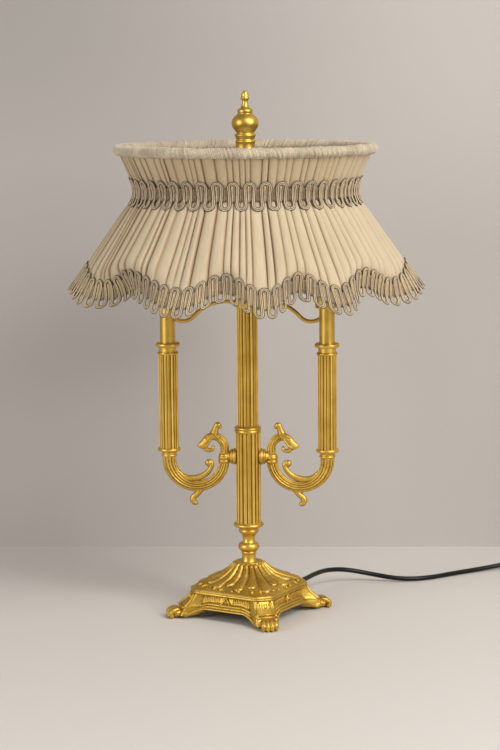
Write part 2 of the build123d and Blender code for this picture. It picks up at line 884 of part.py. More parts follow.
wire_routes = [wire_route(side) for side in (-1, 1)]
with BuildPart() as arm_wires:
    for route in wire_routes:
        with BuildSketch(Plane(route.line @ 0, z_dir=route.line % 0)):
            Circle(wire_radius)
        sweep(path=route.wires()[0])
save(arm_wires, "arm_wires")

# Shade frame: three rings, bent ribs welded inside them and the spider that sits on the rod cover
skirt_slope = (hem_radius - waist_radius) / (waist_height - hem_height)
wire_inset = cloth_thickness + cloth_gap
waist_ring_radius = waist_radius - wire_inset - waist_wire_radius - skirt_slope
hem_ring_radius = (
    waist_radius + (waist_height - hem_ring_height) * skirt_slope - hem_wave - wire_inset - hem_wire_radius
)
with BuildPart() as shade_rings:
    with Locations((0, 0, rim_height)):
        Torus(rim_radius, rim_wire_radius)
    with Locations((0, 0, waist_height)):
        Torus(waist_ring_radius, waist_wire_radius)
    with Locations((0, 0, hem_ring_height)):
        Torus(hem_ring_radius, hem_wire_radius)
save(shade_rings, "shade_rings")

upper_lean = atan2(rim_radius - waist_ring_radius, rim_height - waist_height)
lower_lean = atan2(hem_ring_radius - waist_ring_radius, waist_height - hem_ring_height)
bend_slack = rib_bend * (1 / cos((upper_lean + lower_lean) / 2) - 1)
rib_seat = rib_radius + weld_gap
rib_points = [
    (rim_radius - (rim_wire_radius + rib_seat) / cos(upper_lean), rim_height),
    (waist_ring_radius - waist_wire_radius - rib_seat - bend_slack, waist_height),
    (hem_ring_radius - (hem_wire_radius + rib_seat) / cos(lower_lean), hem_ring_height),
]
with BuildLine(Plane.XZ) as rib_path:
    FilletPolyline(*rib_points, radius=rib_bend)
with BuildPart() as single_rib:
    with BuildSketch(Plane(rib_path.line @ 0, z_dir=rib_path.line % 0)):
        Circle(rib_radius)
    sweep(path=rib_path.wires()[0])
with BuildPart() as rib_room:
    with BuildSketch(Plane(rib_path.line @ 0, z_dir=rib_path.line % 0)):
        Circle(rib_radius + weld_gap)
    sweep(path=rib_path.wires()[0])
with BuildPart() as shade_ribs:
    with PolarLocations(0, rib_count):
        add(single_rib.part)
save(shade_ribs, "shade_ribs")

with BuildLine(Plane.XZ) as spider_path:
    FilletPolyline(
        (spider_hub_radius - spider_arm_radius, hub_base + spider_hub_height / 2),
        (spider_hub_radius + spider_flat, hub_base + spider_hub_height / 2),
        (waist_ring_radius - waist_wire_radius - weld_gap, waist_height),
        radius=spider_bend,
    )
with BuildPart() as spider_arm:
    with BuildSketch(Plane(spider_path.line @ 0, z_dir=spider_path.line % 0)):
        Circle(spider_arm_radius)
    sweep(path=spider_path.wires()[0])
    with Locations((0, 0, waist_height)):
        Torus(waist_ring_radius, waist_wire_radius + weld_gap, mode=Mode.SUBTRACT)
with BuildPart() as shade_spider:
    with Locations((0, 0, hub_base)):
        Cylinder(spider_hub_radius, spider_hub_height, align=(Align.CENTER, Align.CENTER, Align.MIN))
    with PolarLocations(0, spider_arm_count, start_angle=90):
        add(spider_arm.part)
    with Locations((0, 0, hub_base)):
        Cylinder(rod_radius + shaft_room, 4 * spider_hub_height, mode=Mode.SUBTRACT)
save(shade_spider, "shade_spider")

with BuildPart() as rim_wrap:
    with Locations((0, 0, rim_height)):
        Torus(rim_radius, rim_wrap_radius)
        Torus(rim_radius, rim_wire_radius + yarn_room, mode=Mode.SUBTRACT)
    with PolarLocations(0, rib_count):
        add(rib_room.part, mode=Mode.SUBTRACT)
save(rim_wrap, "rim_wrap")

# Pleated cloth: a flared collar above the waist and a waved skirt below it
collar_top = rim_height - rim_wrap_radius - cloth_gap
collar_rise = collar_top - waist_height - cloth_gap
shade_collar = pleated_shell(
    [
        (waist_height + cloth_gap, waist_radius, 0),
        (collar_top, rim_radius, 0),
    ],
    cloth_thickness,
    pleat_bulge,
)
save(shade_collar, "shade_collar")


def skirt_section(height, offset):
    """Section of the skirt's cone at a height, moved outwards by an offset."""
    share = (waist_height - height) / (waist_height - hem_height)
    radius = waist_radius + (hem_radius - waist_radius) * share
    return height, radius + offset, hem_wave * share**2


def scallop_cutter(base):
    """Arched blocks, set round the hem, that cut its lower edge into lobes."""
    inside = hem_radius - hem_margin
    with BuildPart() as block:
        with BuildSketch(Plane((inside, 0, base), x_dir=(0, 1, 0), z_dir=(1, 0, 0))):
            with BuildLine():
                ThreePointArc((-scallop_width / 2, 0), (0, scallop_rise), (scallop_width / 2, 0))
                Polyline(
                    (scallop_width / 2, 0),
                    (scallop_width / 2, -scallop_rise),
                    (-scallop_width / 2, -scallop_rise),
                    (-scallop_width / 2, 0),
                )
            make_face()
        extrude(amount=2 * hem_margin)
    with BuildPart() as cutter:
        with PolarLocations(0, wave_count, start_angle=180 / wave_count):
            add(block.part)
    return cutter


cloth_edge = hem_height + hem_trim_hang
middle_height = (waist_height + hem_height) / 2
skirt_solid = pleated_shell(
    [
        skirt_section(waist_height - cloth_gap, 0),
        skirt_section(middle_height, 0),
        skirt_section(cloth_edge, 0),
    ],
    cloth_thickness,
    pleat_bulge,
)
skirt_scallops = scallop_cutter(cloth_edge)
with BuildPart() as shade_skirt:
    add(skirt_solid.part)
    add(skirt_scallops.part, mode=Mode.SUBTRACT)
save(shade_skirt, "shade_skirt")

# Gimp trims round the waist and along the waved hem
trim_offset = pleat_bulge + cloth_gap
waist_flare = (rim_radius - waist_radius) / collar_rise
half_trim = waist_trim_height / 2
waist_inner = waist_radius + trim_offset
waist_low = (waist_inner + half_trim * skirt_slope, waist_height - half_trim)
waist_high = (waist_inner + half_trim * waist_flare, waist_height + half_trim)
with BuildPart() as waist_trim:
    with BuildSketch(Plane.XZ):
        Polygon(
            waist_low,
            (waist_inner, waist_height),
            waist_high,
            (waist_high[0] + trim_thickness, waist_high[1]),
            (waist_inner + trim_thickness, waist_height),
            (waist_low[0] + trim_thickness, waist_low[1]),
            align=None,
        )
    revolve(axis=Axis.Z)
save(waist_trim, "waist_trim")

trim_shell = pleated_shell(
    [
        skirt_section(hem_height + hem_trim_height, trim_offset + trim_thickness),
        skirt_section(hem_height, trim_offset + trim_thickness),
    ],
    trim_thickness,
    0,
)
trim_scallops = scallop_cutter(hem_height)
with BuildPart() as hem_trim:
    add(trim_shell.part)
    add(trim_scallops.part, mode=Mode.SUBTRACT)
save(hem_trim, "hem_trim")

# Finial that screws onto the rod and holds the shade down
finial_bead_base = finial_base + finial_skirt_height
finial_ring_base = finial_bead_base + finial_bead_height
ball_base = finial_ring_base + finial_ring_height
shoulder_base = ball_base + ball_height
stem_base = shoulder_base + shoulder_height
tip_bead_base = stem_base + stem_height
tip_base = tip_bead_base + tip_bead_height
finial_outline = [
    (finial_skirt_radius, finial_base, 0),
    (finial_waist_radius, finial_bead_base, -cove_depth),
    (finial_bead_radius - bead_swell, finial_ring_base, bead_swell),
    (finial_ring_radius - bead_swell, finial_ring_base, 0),
    (finial_ring_radius - bead_swell, ball_base, bead_swell),
    (ball_seat_radius, ball_base, 0),
    (ball_seat_radius - quirk, shoulder_base, ball_radius - ball_seat_radius + quirk / 2),
    (shoulder_radius, shoulder_base, 0),
    (stem_radius, stem_base, -cove_depth),
    (stem_radius, tip_bead_base, 0),
    (stem_radius, tip_base, tip_bead_radius - stem_radius),
    (tip_point_radius, tip_base + tip_height, tip_swell),
]
finial_solid = turned(finial_outline)
with BuildPart() as finial:
    add(finial_solid.part)
    with Locations((0, 0, finial_base)):
        Cylinder(rod_radius + shaft_room, finial_bore_depth, align=(Align.CENTER, Align.CENTER, Align.MIN),
                 mode=Mode.SUBTRACT)
save(finial, "finial")

# Strain relief through the apron and the terminal block behind it
relief_lean = (apron_foot_half - apron_top_half) / apron_height
relief_inside = apron_wall + relief_head_radius * relief_lean + slip
relief_outside = relief_head_radius * relief_lean
with BuildPart(relief_plane) as strain_relief:
    with Locations((0, 0, -relief_inside)):
        Cylinder(relief_neck_radius, relief_inside + relief_outside,
                 align=(Align.CENTER, Align.CENTER, Align.MIN))
        Cylinder(relief_head_radius, relief_head_length, align=(Align.CENTER, Align.CENTER, Align.MAX))
    with Locations((0, 0, relief_outside)):
        Cone(relief_neck_radius, relief_tip_radius, relief_length - relief_outside,
             align=(Align.CENTER, Align.CENTER, Align.MIN))
save(strain_relief, "strain_relief")

with BuildPart(relief_plane) as terminal_block:
    with Locations((0, 0, -relief_inside - relief_head_length)):
        Box(block_width, block_height, block_length, align=(Align.CENTER, Align.CENTER, Align.MAX))
save(terminal_block, "terminal_block")


def cord_tube(points, name):
    """A round cord along straight runs joined by the largest arcs that the runs allow."""
    corners = [Vector(point) for point in points]
    radii = []
    for before, here, after in zip(corners, corners[1:], corners[2:]):
        arriving = here - before
        leaving = after - here
        turn = radians(arriving.get_angle(leaving))
        radii.append(arc_share * min(arriving.length, leaving.length) / tan(turn / 2))
    with BuildLine() as path:
        FilletPolyline(*corners, radius=radii)
    with BuildPart() as tube:
        with BuildSketch(Plane(path.line @ 0, z_dir=path.line % 0)):
            Circle(cord_radius)
        sweep(path=path.wires()[0])
    length = sum(edge.length for edge in path.edges())
    ratio = tube.part.volume / (pi * cord_radius**2 * length)
    print(name, "radii", [round(radius) for radius in radii])
    print(name, "length", round(length, 1), "volume", round(ratio, 4))
    return tube


# Flex from the base to the switch, then on to the coil; points chosen by eye from the photograph
floor = cord_radius
switch_axis = switch_height / 2
relief_exit = relief_centre + relief_side * relief_length
lead_points = [
    relief_exit,
    relief_exit + relief_side * lead_straight,
    (67, 105, 20.6),
    (80, 132, 19.6),
    (102, 151, 16.0),
    (132, 158, 9.0),
    (165, 155, 4.0),
    (198, 166, floor),
    (231, 195, floor),
    (268, 221, 3.4),
    (300, 236, 7.0),
    (320, switch_start[1], switch_axis),
    (switch_start[0], switch_start[1], switch_axis),
]
cord_lead = cord_tube(lead_points, "cord_lead")
save(cord_lead, "cord_lead")

coil_floor = coil_lift + cord_radius
coil_start = (coil_centre[0] - coil_outer_radius, coil_centre[1], coil_floor)
switch_end = switch_start[0] + switch_length
tail_points = [
    (switch_end, switch_start[1], switch_axis),
    (424, switch_start[1], switch_axis),
    (437, 227, 6.5),
    (435, 206, 4.4),
    (414, 188, coil_floor),
    (392, 166, coil_floor),
    (coil_start[0], 142, coil_floor),
    (coil_start[0], coil_start[1] + 2 * cord_radius, coil_floor),
]
cord_tail = cord_tube(tail_points, "cord_tail")
save(cord_tail, "cord_tail")

# Coil: half turns winding in on the table, one that climbs, then out again on the layer above
with BuildLine() as coil_path:
    Line((coil_start[0], coil_start[1] + 2 * cord_radius, coil_floor), coil_start)
    place = coil_start[0]
    height = coil_floor
    side = -1
    for step in range(2 * coil_half_turns + 1):
        depth = coil_half_turns - abs(step - coil_half_turns)
        radius = coil_outer_radius - coil_step / 2 * depth
        climb = coil_step if step == coil_half_turns else 0.0
        far = place - side * 2 * radius
        ThreePointArc(
            (place, coil_centre[1], height),
            ((place + far) / 2, coil_centre[1] + side * hypot(radius, climb / 2), height + climb / 2),
            (far, coil_centre[1], height + climb),
        )
        place = far
        height = height + climb
        side = -side
    Line((place, coil_centre[1], height), (place, coil_centre[1] + 2 * cord_radius, height))
coil_inner_radius = coil_outer_radius - coil_step / 2 * coil_half_turns
with BuildPart() as cord_coil:
    with BuildSketch(Plane(coil_path.line @ 0, z_dir=coil_path.line % 0)):
        Circle(cord_radius)
    sweep(path=coil_path.wires()[0])
save(cord_coil, "cord_coil")
coil_length = coil_path.wires()[0].length
gap_points = int(coil_length / cord_radius)
coil_trace = [coil_path.wires()[0] @ (index / gap_points) for index in range(gap_points + 1)]
apart = int(2 * pi * coil_inner_radius / 2 / cord_radius)
least = min(
    (one - other).length
    for index, one in enumerate(coil_trace)
    for other in coil_trace[index + apart:]
)
coil_ratio = cord_coil.part.volume / (pi * cord_radius**2 * coil_length)
print("cord_coil length", round(coil_length, 1), "volume", round(coil_ratio, 4), "least gap",
      round(least - 2 * cord_radius, 2))

# Tie round the coil on the side away from the plug
half_tie = tie_width / 2
tie_inner = ((coil_inner_radius - cord_radius) ** 2 - half_tie**2) ** 0.5 - tie_room
tie_outer = coil_outer_radius + cord_radius + tie_room
tie_top = coil_floor + coil_step + cord_radius + tie_room
tie_height = (coil_lift - tie_room + tie_top) / 2
tie_middle = (coil_centre[0], coil_centre[1] - (tie_inner + tie_outer) / 2, tie_height)
with BuildPart() as coil_tie:
    with BuildSketch(Plane(tie_middle, x_dir=(0, 1, 0), z_dir=(1, 0, 0))):
        loop_width = tie_outer - tie_inner
        loop_height = tie_top - coil_lift + tie_room
        Rectangle(loop_width + 2 * tie_thickness, loop_height + 2 * tie_thickness)
        Rectangle(loop_width, loop_height, mode=Mode.SUBTRACT)
    extrude(amount=half_tie, both=True)
save(coil_tie, "coil_tie")

# Last stretch from the top of the coil down to the plug, which lies flat beside it
plug_axis = plug_thickness / 2
end_start = coil_centre[1] + 2 * cord_radius
plug_start = end_start + end_run
end_points = [
    (place, end_start, height),
    (place, 108.6, height),
    (place - 0.6, 119.6, 8.3),
    (place, 129.6, plug_axis),
    (place, plug_start, plug_axis),
]
cord_end = cord_tube(end_points, "cord_end")
save(cord_end, "cord_end")

plug_plane = Plane((place, plug_start, plug_axis), x_dir=(1, 0, 0), z_dir=(0, 1, 0))
plug_top_plane = Plane((place, plug_start + plug_relief_length, 0))
with BuildPart() as plug_body:
    with BuildSketch(plug_top_plane):
        Polygon(
            (-plug_width / 2, plug_length),
            (-plug_width / 2, plug_length - plug_nose),
            (-plug_shoulder, 0),
            (plug_shoulder, 0),
            (plug_width / 2, plug_length - plug_nose),
            (plug_width / 2, plug_length),
            align=None,
        )
    extrude(amount=plug_thickness)
    fillet(plug_body.edges().filter_by(Axis.Z), plug_corner_round)
    fillet(plug_body.edges().group_by(Axis.Z)[0] + plug_body.edges().group_by(Axis.Z)[-1], plug_edge_round)
    with BuildSketch(plug_plane):
        Circle(cord_radius + plug_relief_lip)
    with BuildSketch(plug_plane.offset(plug_relief_length + plug_relief_overlap)):
        Circle(plug_relief_radius)
    loft()
    with BuildSketch(plug_plane.offset(plug_relief_length + plug_length)):
        with Locations((-plug_pin_spacing / 2, 0), (plug_pin_spacing / 2, 0)):
            Circle(plug_root_radius + screw_room)
    extrude(amount=-plug_nose, mode=Mode.SUBTRACT)
save(plug_body, "plug_body")

with BuildPart() as plug_pins:
    pin_places = [(-plug_pin_spacing / 2, 0), (plug_pin_spacing / 2, 0)]
    with BuildSketch(plug_plane.offset(plug_relief_length + plug_length)):
        with Locations(pin_places):
            Circle(plug_pin_radius)
    extrude(amount=plug_pin_length)
    chamfer(plug_pins.edges().group_by(Axis.Y)[-1], plug_pin_chamfer)
    with BuildSketch(plug_plane.offset(plug_relief_length + plug_length)):
        with Locations(pin_places):
            Circle(plug_root_radius)
    extrude(amount=-plug_nose)
save(plug_pins, "plug_pins")

# In-line switch: two case halves and a rocker on trunnions
switch_middle = switch_start[0] + switch_length / 2
switch_plane = Plane((switch_middle, switch_start[1], 0))
parting = switch_height / 2
pivot_height = switch_height - pivot_drop
with BuildPart() as switch_base:
    with BuildSketch(switch_plane):
        RectangleRounded(switch_length, switch_width, switch_corner)
    extrude(amount=parting)
    fillet(switch_base.edges().group_by(Axis.Z)[0], switch_edge_round)
    with BuildSketch(switch_plane.offset(switch_wall)):
        RectangleRounded(switch_length - 2 * switch_wall, switch_width - 2 * switch_wall,
                         switch_corner - switch_wall)
    extrude(amount=parting, mode=Mode.SUBTRACT)
save(switch_base, "switch_base")

with BuildPart() as switch_cover:
    with BuildSketch(switch_plane.offset(parting)):
        RectangleRounded(switch_length, switch_width, switch_corner)
    extrude(amount=switch_height - parting)
    fillet(switch_cover.edges().group_by(Axis.Z)[-1], switch_edge_round)
    with BuildSketch(switch_plane.offset(switch_height - switch_wall)):
        RectangleRounded(switch_length - 2 * switch_wall, switch_width - 2 * switch_wall,
                         switch_corner - switch_wall)
    extrude(amount=-switch_height, mode=Mode.SUBTRACT)
    with BuildSketch(switch_plane.offset(switch_height)):
        Rectangle(rocker_length + 2 * rocker_room, rocker_width + 4 * run_gap)
    extrude(amount=-2 * switch_wall, mode=Mode.SUBTRACT)
    lug_reach = rocker_width / 2 + run_gap + lug_thickness / 2
    for across in (-lug_reach, lug_reach):
        with Locations((switch_middle, switch_start[1] + across, switch_height - switch_wall)):
            Box(6 * pivot_radius, lug_thickness, pivot_drop - switch_wall + 2 * pivot_radius,
                align=(Align.CENTER, Align.CENTER, Align.MAX))
    with Locations(Location((switch_middle, switch_start[1], pivot_height), (90, 0, 0))):
        Cylinder(pivot_radius + shaft_room, 2 * lug_reach + 2 * lug_thickness, mode=Mode.SUBTRACT)
save(switch_cover, "switch_cover")

with BuildPart() as switch_rocker:
    half = rocker_length / 2
    with BuildSketch(Plane((switch_middle, switch_start[1], pivot_height), x_dir=(1, 0, 0), z_dir=(0, -1, 0))):
        with Locations(Location((0, 0, 0), (0, 0, rocker_tilt))):
            Polygon(
                (-half, rocker_rise),
                (-half, rocker_rise - switch_wall),
                (-2 * pivot_radius, -2 * pivot_radius),
                (2 * pivot_radius, -2 * pivot_radius),
                (half, rocker_rise - switch_wall),
                (half, rocker_rise),
                (0, rocker_rise - rocker_dish),
                align=None,
            )
    extrude(amount=rocker_width / 2, both=True)
    with Locations(Location((switch_middle, switch_start[1], pivot_height), (90, 0, 0))):
        Cylinder(pivot_radius, pivot_length)
save(switch_rocker, "switch_rocker")
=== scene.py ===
import random
from math import atan2, cos, degrees, exp, hypot, pi, radians, sin, tau

import bmesh
import bpy
import numpy as np
from bpy.props import FloatProperty, FloatVectorProperty, IntProperty, PointerProperty
from bpy.types import Operator, Panel, PropertyGroup
from mathutils import Matrix, Vector


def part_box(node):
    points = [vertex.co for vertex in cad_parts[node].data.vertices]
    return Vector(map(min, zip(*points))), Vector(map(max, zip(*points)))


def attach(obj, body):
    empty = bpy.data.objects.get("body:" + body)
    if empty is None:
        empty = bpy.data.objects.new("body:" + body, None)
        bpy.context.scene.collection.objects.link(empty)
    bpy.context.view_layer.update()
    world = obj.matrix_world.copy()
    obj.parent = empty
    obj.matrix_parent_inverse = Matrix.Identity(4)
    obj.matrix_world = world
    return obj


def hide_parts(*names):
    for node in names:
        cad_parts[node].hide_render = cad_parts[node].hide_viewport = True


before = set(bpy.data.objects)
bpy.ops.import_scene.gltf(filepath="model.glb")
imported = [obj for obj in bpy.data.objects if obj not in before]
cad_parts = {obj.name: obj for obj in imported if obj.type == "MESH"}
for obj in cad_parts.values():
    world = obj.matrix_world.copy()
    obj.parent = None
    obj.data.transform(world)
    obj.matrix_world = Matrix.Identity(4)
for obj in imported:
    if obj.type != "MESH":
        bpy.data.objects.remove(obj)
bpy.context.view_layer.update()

bl_info = {
    "name": "Candle-Arm Table Lamp",
    "version": (1, 0, 0),
    "blender": (4, 5, 0),
    "location": "3D View > Sidebar > Lamp",
    "description": "Dresses a brass table lamp: castings, pleated shade, gimp trims, flex and stage",
    "category": "Add Mesh",
}

MM = 0.001
SIDES = {"left": -1, "right": 1}
UP = Vector((0, 0, 1))


# Places read from the frame, in millimetres
def span(node):
    """Lowest and highest corner of a piece of the frame, in millimetres."""
    low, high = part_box(node)
    return low / MM, high / MM


RIM_LOW, RIM_HIGH = span("rim_wrap")
RIM_THICK = (RIM_HIGH.z - RIM_LOW.z) / 2
RIM_HEIGHT = (RIM_HIGH.z + RIM_LOW.z) / 2
RIM_RADIUS = RIM_HIGH.x - RIM_THICK
HEM_HEIGHT = span("hem_trim")[0].z
HEM_REACH = span("hem_trim")[1].x
BASE_TOP = span("base_casting")[1].z
ROD_RADIUS = span("centre_rod")[1].x
CANDLE_X = (span("candle_sleeve_right")[0].x + span("candle_sleeve_right")[1].x) / 2
COLUMN_RADIUS = span("lower_column")[1].x
ARM_TOP = span("candle_collar_right")[0].z

# The photograph's camera, in metres and radians
CAMERA_TURN = radians(6.0)
CAMERA_DISTANCE = 2.4
CAMERA_HEIGHT = 0.613
CAMERA_PITCH = radians(8.05)
CAMERA_YAW = radians(0.07)
CAMERA_ROLL = radians(-0.5)
CAMERA_LENS = 103.3
CAMERA_SENSOR = 36.0


class LampShadeSettings(PropertyGroup):
    """Sizes and counts of the cloth shade."""

    waist_height: FloatProperty(
        name="Waist Height", description="Height of the drawn-in waist", default=0.4815, min=0.4,
        unit="LENGTH")
    waist_radius: FloatProperty(
        name="Waist Radius", description="Radius of the cloth at the waist", default=0.1215, min=0.05,
        unit="LENGTH")
    pleats: IntProperty(name="Pleats", description="Knife pleats round the shade", default=88, min=12)
    waves: IntProperty(name="Waves", description="Lobes of the hem round the shade", default=12, min=4)
    wave_depth: FloatProperty(
        name="Wave Depth", description="How far a lobe swings out and in", default=0.016, min=0,
        unit="LENGTH")
    scallop: FloatProperty(
        name="Scallop", description="How far the hem rises between two lobes", default=0.015, min=0,
        unit="LENGTH")
    hang: FloatProperty(
        name="Trim Hang", description="Length of trim below the cloth", default=0.012, min=0, unit="LENGTH")
    yarn_turns: IntProperty(name="Yarn Turns", description="Turns of yarn on the rim", default=390, min=20)
    waist_loops: IntProperty(name="Waist Loops", description="Gimp loops round the waist", default=46, min=8)
    hem_loops: IntProperty(name="Hem Loops", description="Gimp loops round the hem", default=82, min=8)


class ShadePlan:
    """The shade's settings with every length in millimetres."""

    def __init__(self, settings):
        for name in ("waist_height", "waist_radius", "wave_depth", "scallop", "hang"):
            setattr(self, name, getattr(settings, name) / MM)
        for name in ("pleats", "waves", "yarn_turns", "waist_loops", "hem_loops"):
            setattr(self, name, getattr(settings, name))
        place, half_lobes = HEM_STATIONS[0]
        round_again = (place + 360, half_lobes + 2 * self.waves)
        self.hem_places, self.hem_halves = zip(*HEM_STATIONS, round_again)


class LampColourSettings(PropertyGroup):
    """Colours of the finishes, as linear light."""

    brass_light: FloatVectorProperty(
        name="Brass", description="Polished face of the brass", subtype="COLOR", default=(0.75, 0.508, 0.11))
    brass_deep: FloatVectorProperty(
        name="Brass Shade", description="Aged tone of the brass", subtype="COLOR",
        default=(0.57, 0.355, 0.056))
    # Colour of the patina and painted shade in the flutes and hollows
    brass_patina_and_shade: FloatVectorProperty(
        name="Patina", description="Dark patina in the hollows", subtype="COLOR",
        default=(0.115, 0.048, 0.017))
    cloth: FloatVectorProperty(
        name="Cloth", description="Cream cotton", subtype="COLOR", default=(0.57, 0.465, 0.31))
    # Colour of the painted shade in the creases and inside the cloth
    cloth_crease_shade: FloatVectorProperty(
        name="Cloth Fold", description="Cotton in the folds", subtype="COLOR", default=(0.25, 0.15, 0.06))
    yarn: FloatVectorProperty(
        name="Yarn", description="Wool on the rim", subtype="COLOR", default=(0.63, 0.53, 0.38))
    gimp_dark: FloatVectorProperty(
        name="Gimp Edge", description="Outer strands of the gimp", subtype="COLOR",
        default=(0.06, 0.04, 0.024))
    gimp_light: FloatVectorProperty(
        name="Gimp Heart", description="Pale strands of the gimp", subtype="COLOR",
        default=(0.60, 0.47, 0.285))
    gimp_weave: FloatVectorProperty(
        name="Gimp Weave", description="Woven middle of the gimp", subtype="COLOR",
        default=(0.20, 0.125, 0.06))
    floor: FloatVectorProperty(
        name="Table", description="Pale table top", subtype="COLOR", default=(0.63, 0.597, 0.567))
    wall: FloatVectorProperty(
        name="Wall", description="Grey-beige wall", subtype="COLOR", default=(0.44, 0.414, 0.392))


class LampCordSettings(PropertyGroup):
    """Sizes of the flex and its coil."""

    diameter: FloatProperty(
        name="Diameter", description="Thickness of the flex", default=0.0056, min=0.001, unit="LENGTH")
    coil_radius: FloatProperty(
        name="Coil Radius", description="Outer radius of the coil", default=0.040, min=0.01, unit="LENGTH")
    coil_step: FloatProperty(
        name="Coil Step", description="Pitch of the turns", default=0.0063, min=0.001, unit="LENGTH")
    half_turns: IntProperty(name="Half Turns", description="Half turns in a layer", default=6, min=1)


# Shader nodes as expressions
class Wire:
    """A node's output; arithmetic on it adds Math nodes."""

    def __init__(self, finish, socket):
        self.finish = finish
        self.socket = socket

    def math(self, operation, *terms):
        return self.finish.add("ShaderNodeMath", {"operation": operation}, dict(enumerate(terms)))

    def __add__(self, other):
        return self.math("ADD", self, other)

    def __sub__(self, other):
        return self.math("SUBTRACT", self, other)

    def __rsub__(self, other):
        return self.math("SUBTRACT", other, self)

    def __mul__(self, other):
        return self.math("MULTIPLY", self, other)

    __radd__ = __add__
    __rmul__ = __mul__


class Finish:
    """A material made of nodes."""

    def __init__(self, name, **shader):
        self.material = bpy.data.materials.new(name)
        self.material.use_nodes = True
        self.tree = self.material.node_tree
        self.shader = self.tree.nodes["Principled BSDF"]
        self.set(**shader)

    def set(self, **values):
        """Put values or wires on the shader's sockets; underscores stand for spaces."""
        for name, value in values.items():
            self.put(self.shader.inputs[name.replace("_", " ")], value)
        return self.material

    def put(self, socket, value):
        if isinstance(value, Wire):
            self.tree.links.new(value.socket, socket)
        elif socket.type == "RGBA" and len(value) == 3:
            socket.default_value = (*value, 1.0)
        else:
            socket.default_value = value

    def add(self, kind, settings=None, sockets=None, out=0):
        """A new node with its settings, then the values or wires of its sockets."""
        node = self.tree.nodes.new(kind)
        for name, value in (settings or {}).items():
            setattr(node, name, value)
        for name, value in (sockets or {}).items():
            self.put(node.inputs[name], value)
        return Wire(self, node.outputs[out])

    def place(self):
        return self.add("ShaderNodeTexCoord", out="Object")

    def uv(self):
        return self.add("ShaderNodeTexCoord", out="UV")

    def stretched(self, vector, scale):
        return self.add("ShaderNodeMapping", None, {"Vector": vector, "Scale": scale})

    def axis(self, vector, name):
        """One of a vector's three values."""
        return self.add("ShaderNodeSeparateXYZ", None, {0: vector}, name)

    def noise(self, vector, scale, detail=2.0, rough=0.5):
        sockets = {"Vector": vector, "Scale": scale, "Detail": detail, "Roughness": rough}
        return self.add("ShaderNodeTexNoise", None, sockets, "Fac")

    def attribute(self, name):
        return self.add("ShaderNodeAttribute", {"attribute_name": name}, None, "Fac")

    def between(self, value, low, high):
        """0 below the low mark and 1 above the high one."""
        sockets = {"Value": value, "From Min": low, "From Max": high}
        return self.add("ShaderNodeMapRange", {"interpolation_type": "SMOOTHSTEP"}, sockets)

    def mix(self, share, first, second):
        return self.add("ShaderNodeMix", {"data_type": "RGBA"}, {0: share, 6: first, 7: second}, 2)

    def bump(self, height, strength, distance):
        sockets = {"Height": height, "Strength": strength, "Distance": distance}
        return self.add("ShaderNodeBump", None, sockets)


# Finishes: roughness, how strongly each marking shows, and depths of the grain in metres
CAST_ROUGH = 0.44
TURNED_ROUGH = 0.37
CLOUD_ROUGH = 0.1
PATINA_ROUGH = 0.18
CAST_PATINA_AND_SHADE = 0.78
CAST_SPECK = 0.3
CAST_FLECK = 0.42
CAST_GRAIN = 0.45
TURNED_GRAIN = 0.1
BRASS_GRAIN_DEPTH = 0.00015
FLUTE_PATINA_AND_SHADE = 0.98
FLUTE_EDGE = (0.31, 0.44)
THREAD_SCALE = 320.0
COLLAR_TINT = (-0.12, -0.15, -0.21)
WEAVE_DEPTH = 0.0002
FUZZ_DEPTH = 0.0004
GOLDEN_TINT = (0.1, 0.06, -0.12)
GOLDEN_WEAVE = (0.45, 0.6, 0.65)
COOL_TINT = (-0.16, -0.17, -0.1)
# Pale colour painted along the gimp's fibres as glints, and how much of it shows
FIBRE_PAINTED_GLINT = (0.70, 0.62, 0.48)
FIBRE_GLINT_SHARE = 0.16
FIBRE_DEPTH = 0.0003
MOULDED_DEPTH = 0.0001


def tinted(colour, shares, amount=1.0):
    """A colour with each channel raised or lowered by its own share."""
    return tuple(channel * (1 + amount * share) for channel, share in zip(colour, shares))


def dimmed(colour, share):
    return tuple(channel * share for channel in colour)


def brass(name, flutes=None, cast=False):
    """Satin golden brass: cloudy tone, fine grain, and dark patina with painted shade in the flutes or
    hollows.
    """
    colours = bpy.context.scene.lamp_colours
    finish = Finish(name, Metallic=1.0)
    place = finish.place()
    cloud = finish.noise(place, scale=45.0, detail=3.0)
    grain = finish.noise(place, scale=1500.0)
    tone = finish.mix(finish.between(cloud, 0.2, 0.8), colours.brass_deep, colours.brass_light)
    rough = (CAST_ROUGH if cast else TURNED_ROUGH) + CLOUD_ROUGH * cloud
    patina_and_shade = None
    if flutes:
        count, centre = flutes
        x = finish.axis(place, "X") - centre * MM
        y = finish.axis(place, "Y")
        turn = y.math("ARCTAN2", y, x) * (count / tau) + count
        part = turn.math("FRACT", turn)
        edge = part.math("ABSOLUTE", part - 0.5)
        # Dark bands between the flutes: patina and painted shade in the grooves
        patina_and_shade = finish.between(edge, *FLUTE_EDGE) * FLUTE_PATINA_AND_SHADE
    elif cast:
        pits = finish.noise(place, scale=420.0, detail=4.0, rough=0.6)
        speck = finish.between(pits, 0.46, 0.72) * CAST_SPECK
        # Patina and painted shade in the hollows of the castings and their pits
        patina_and_shade = finish.between(finish.attribute("patina_and_shade") + speck, 0.06, 0.5)
        spots = finish.noise(place, scale=800.0, detail=3.0, rough=0.6)
        fleck = finish.between(spots, 0.42, 0.66) * CAST_FLECK
        tone = finish.mix(fleck, tone, dimmed(colours.brass_deep, 0.5))
    if patina_and_shade:
        tone = finish.mix(patina_and_shade * (CAST_PATINA_AND_SHADE if cast else 1.0), tone, colours.brass_patina_and_shade)
        rough = rough + PATINA_ROUGH * patina_and_shade
    bump = finish.bump(grain, CAST_GRAIN if cast else TURNED_GRAIN, BRASS_GRAIN_DEPTH)
    return finish.set(Base_Color=tone, Roughness=rough, Normal=bump)


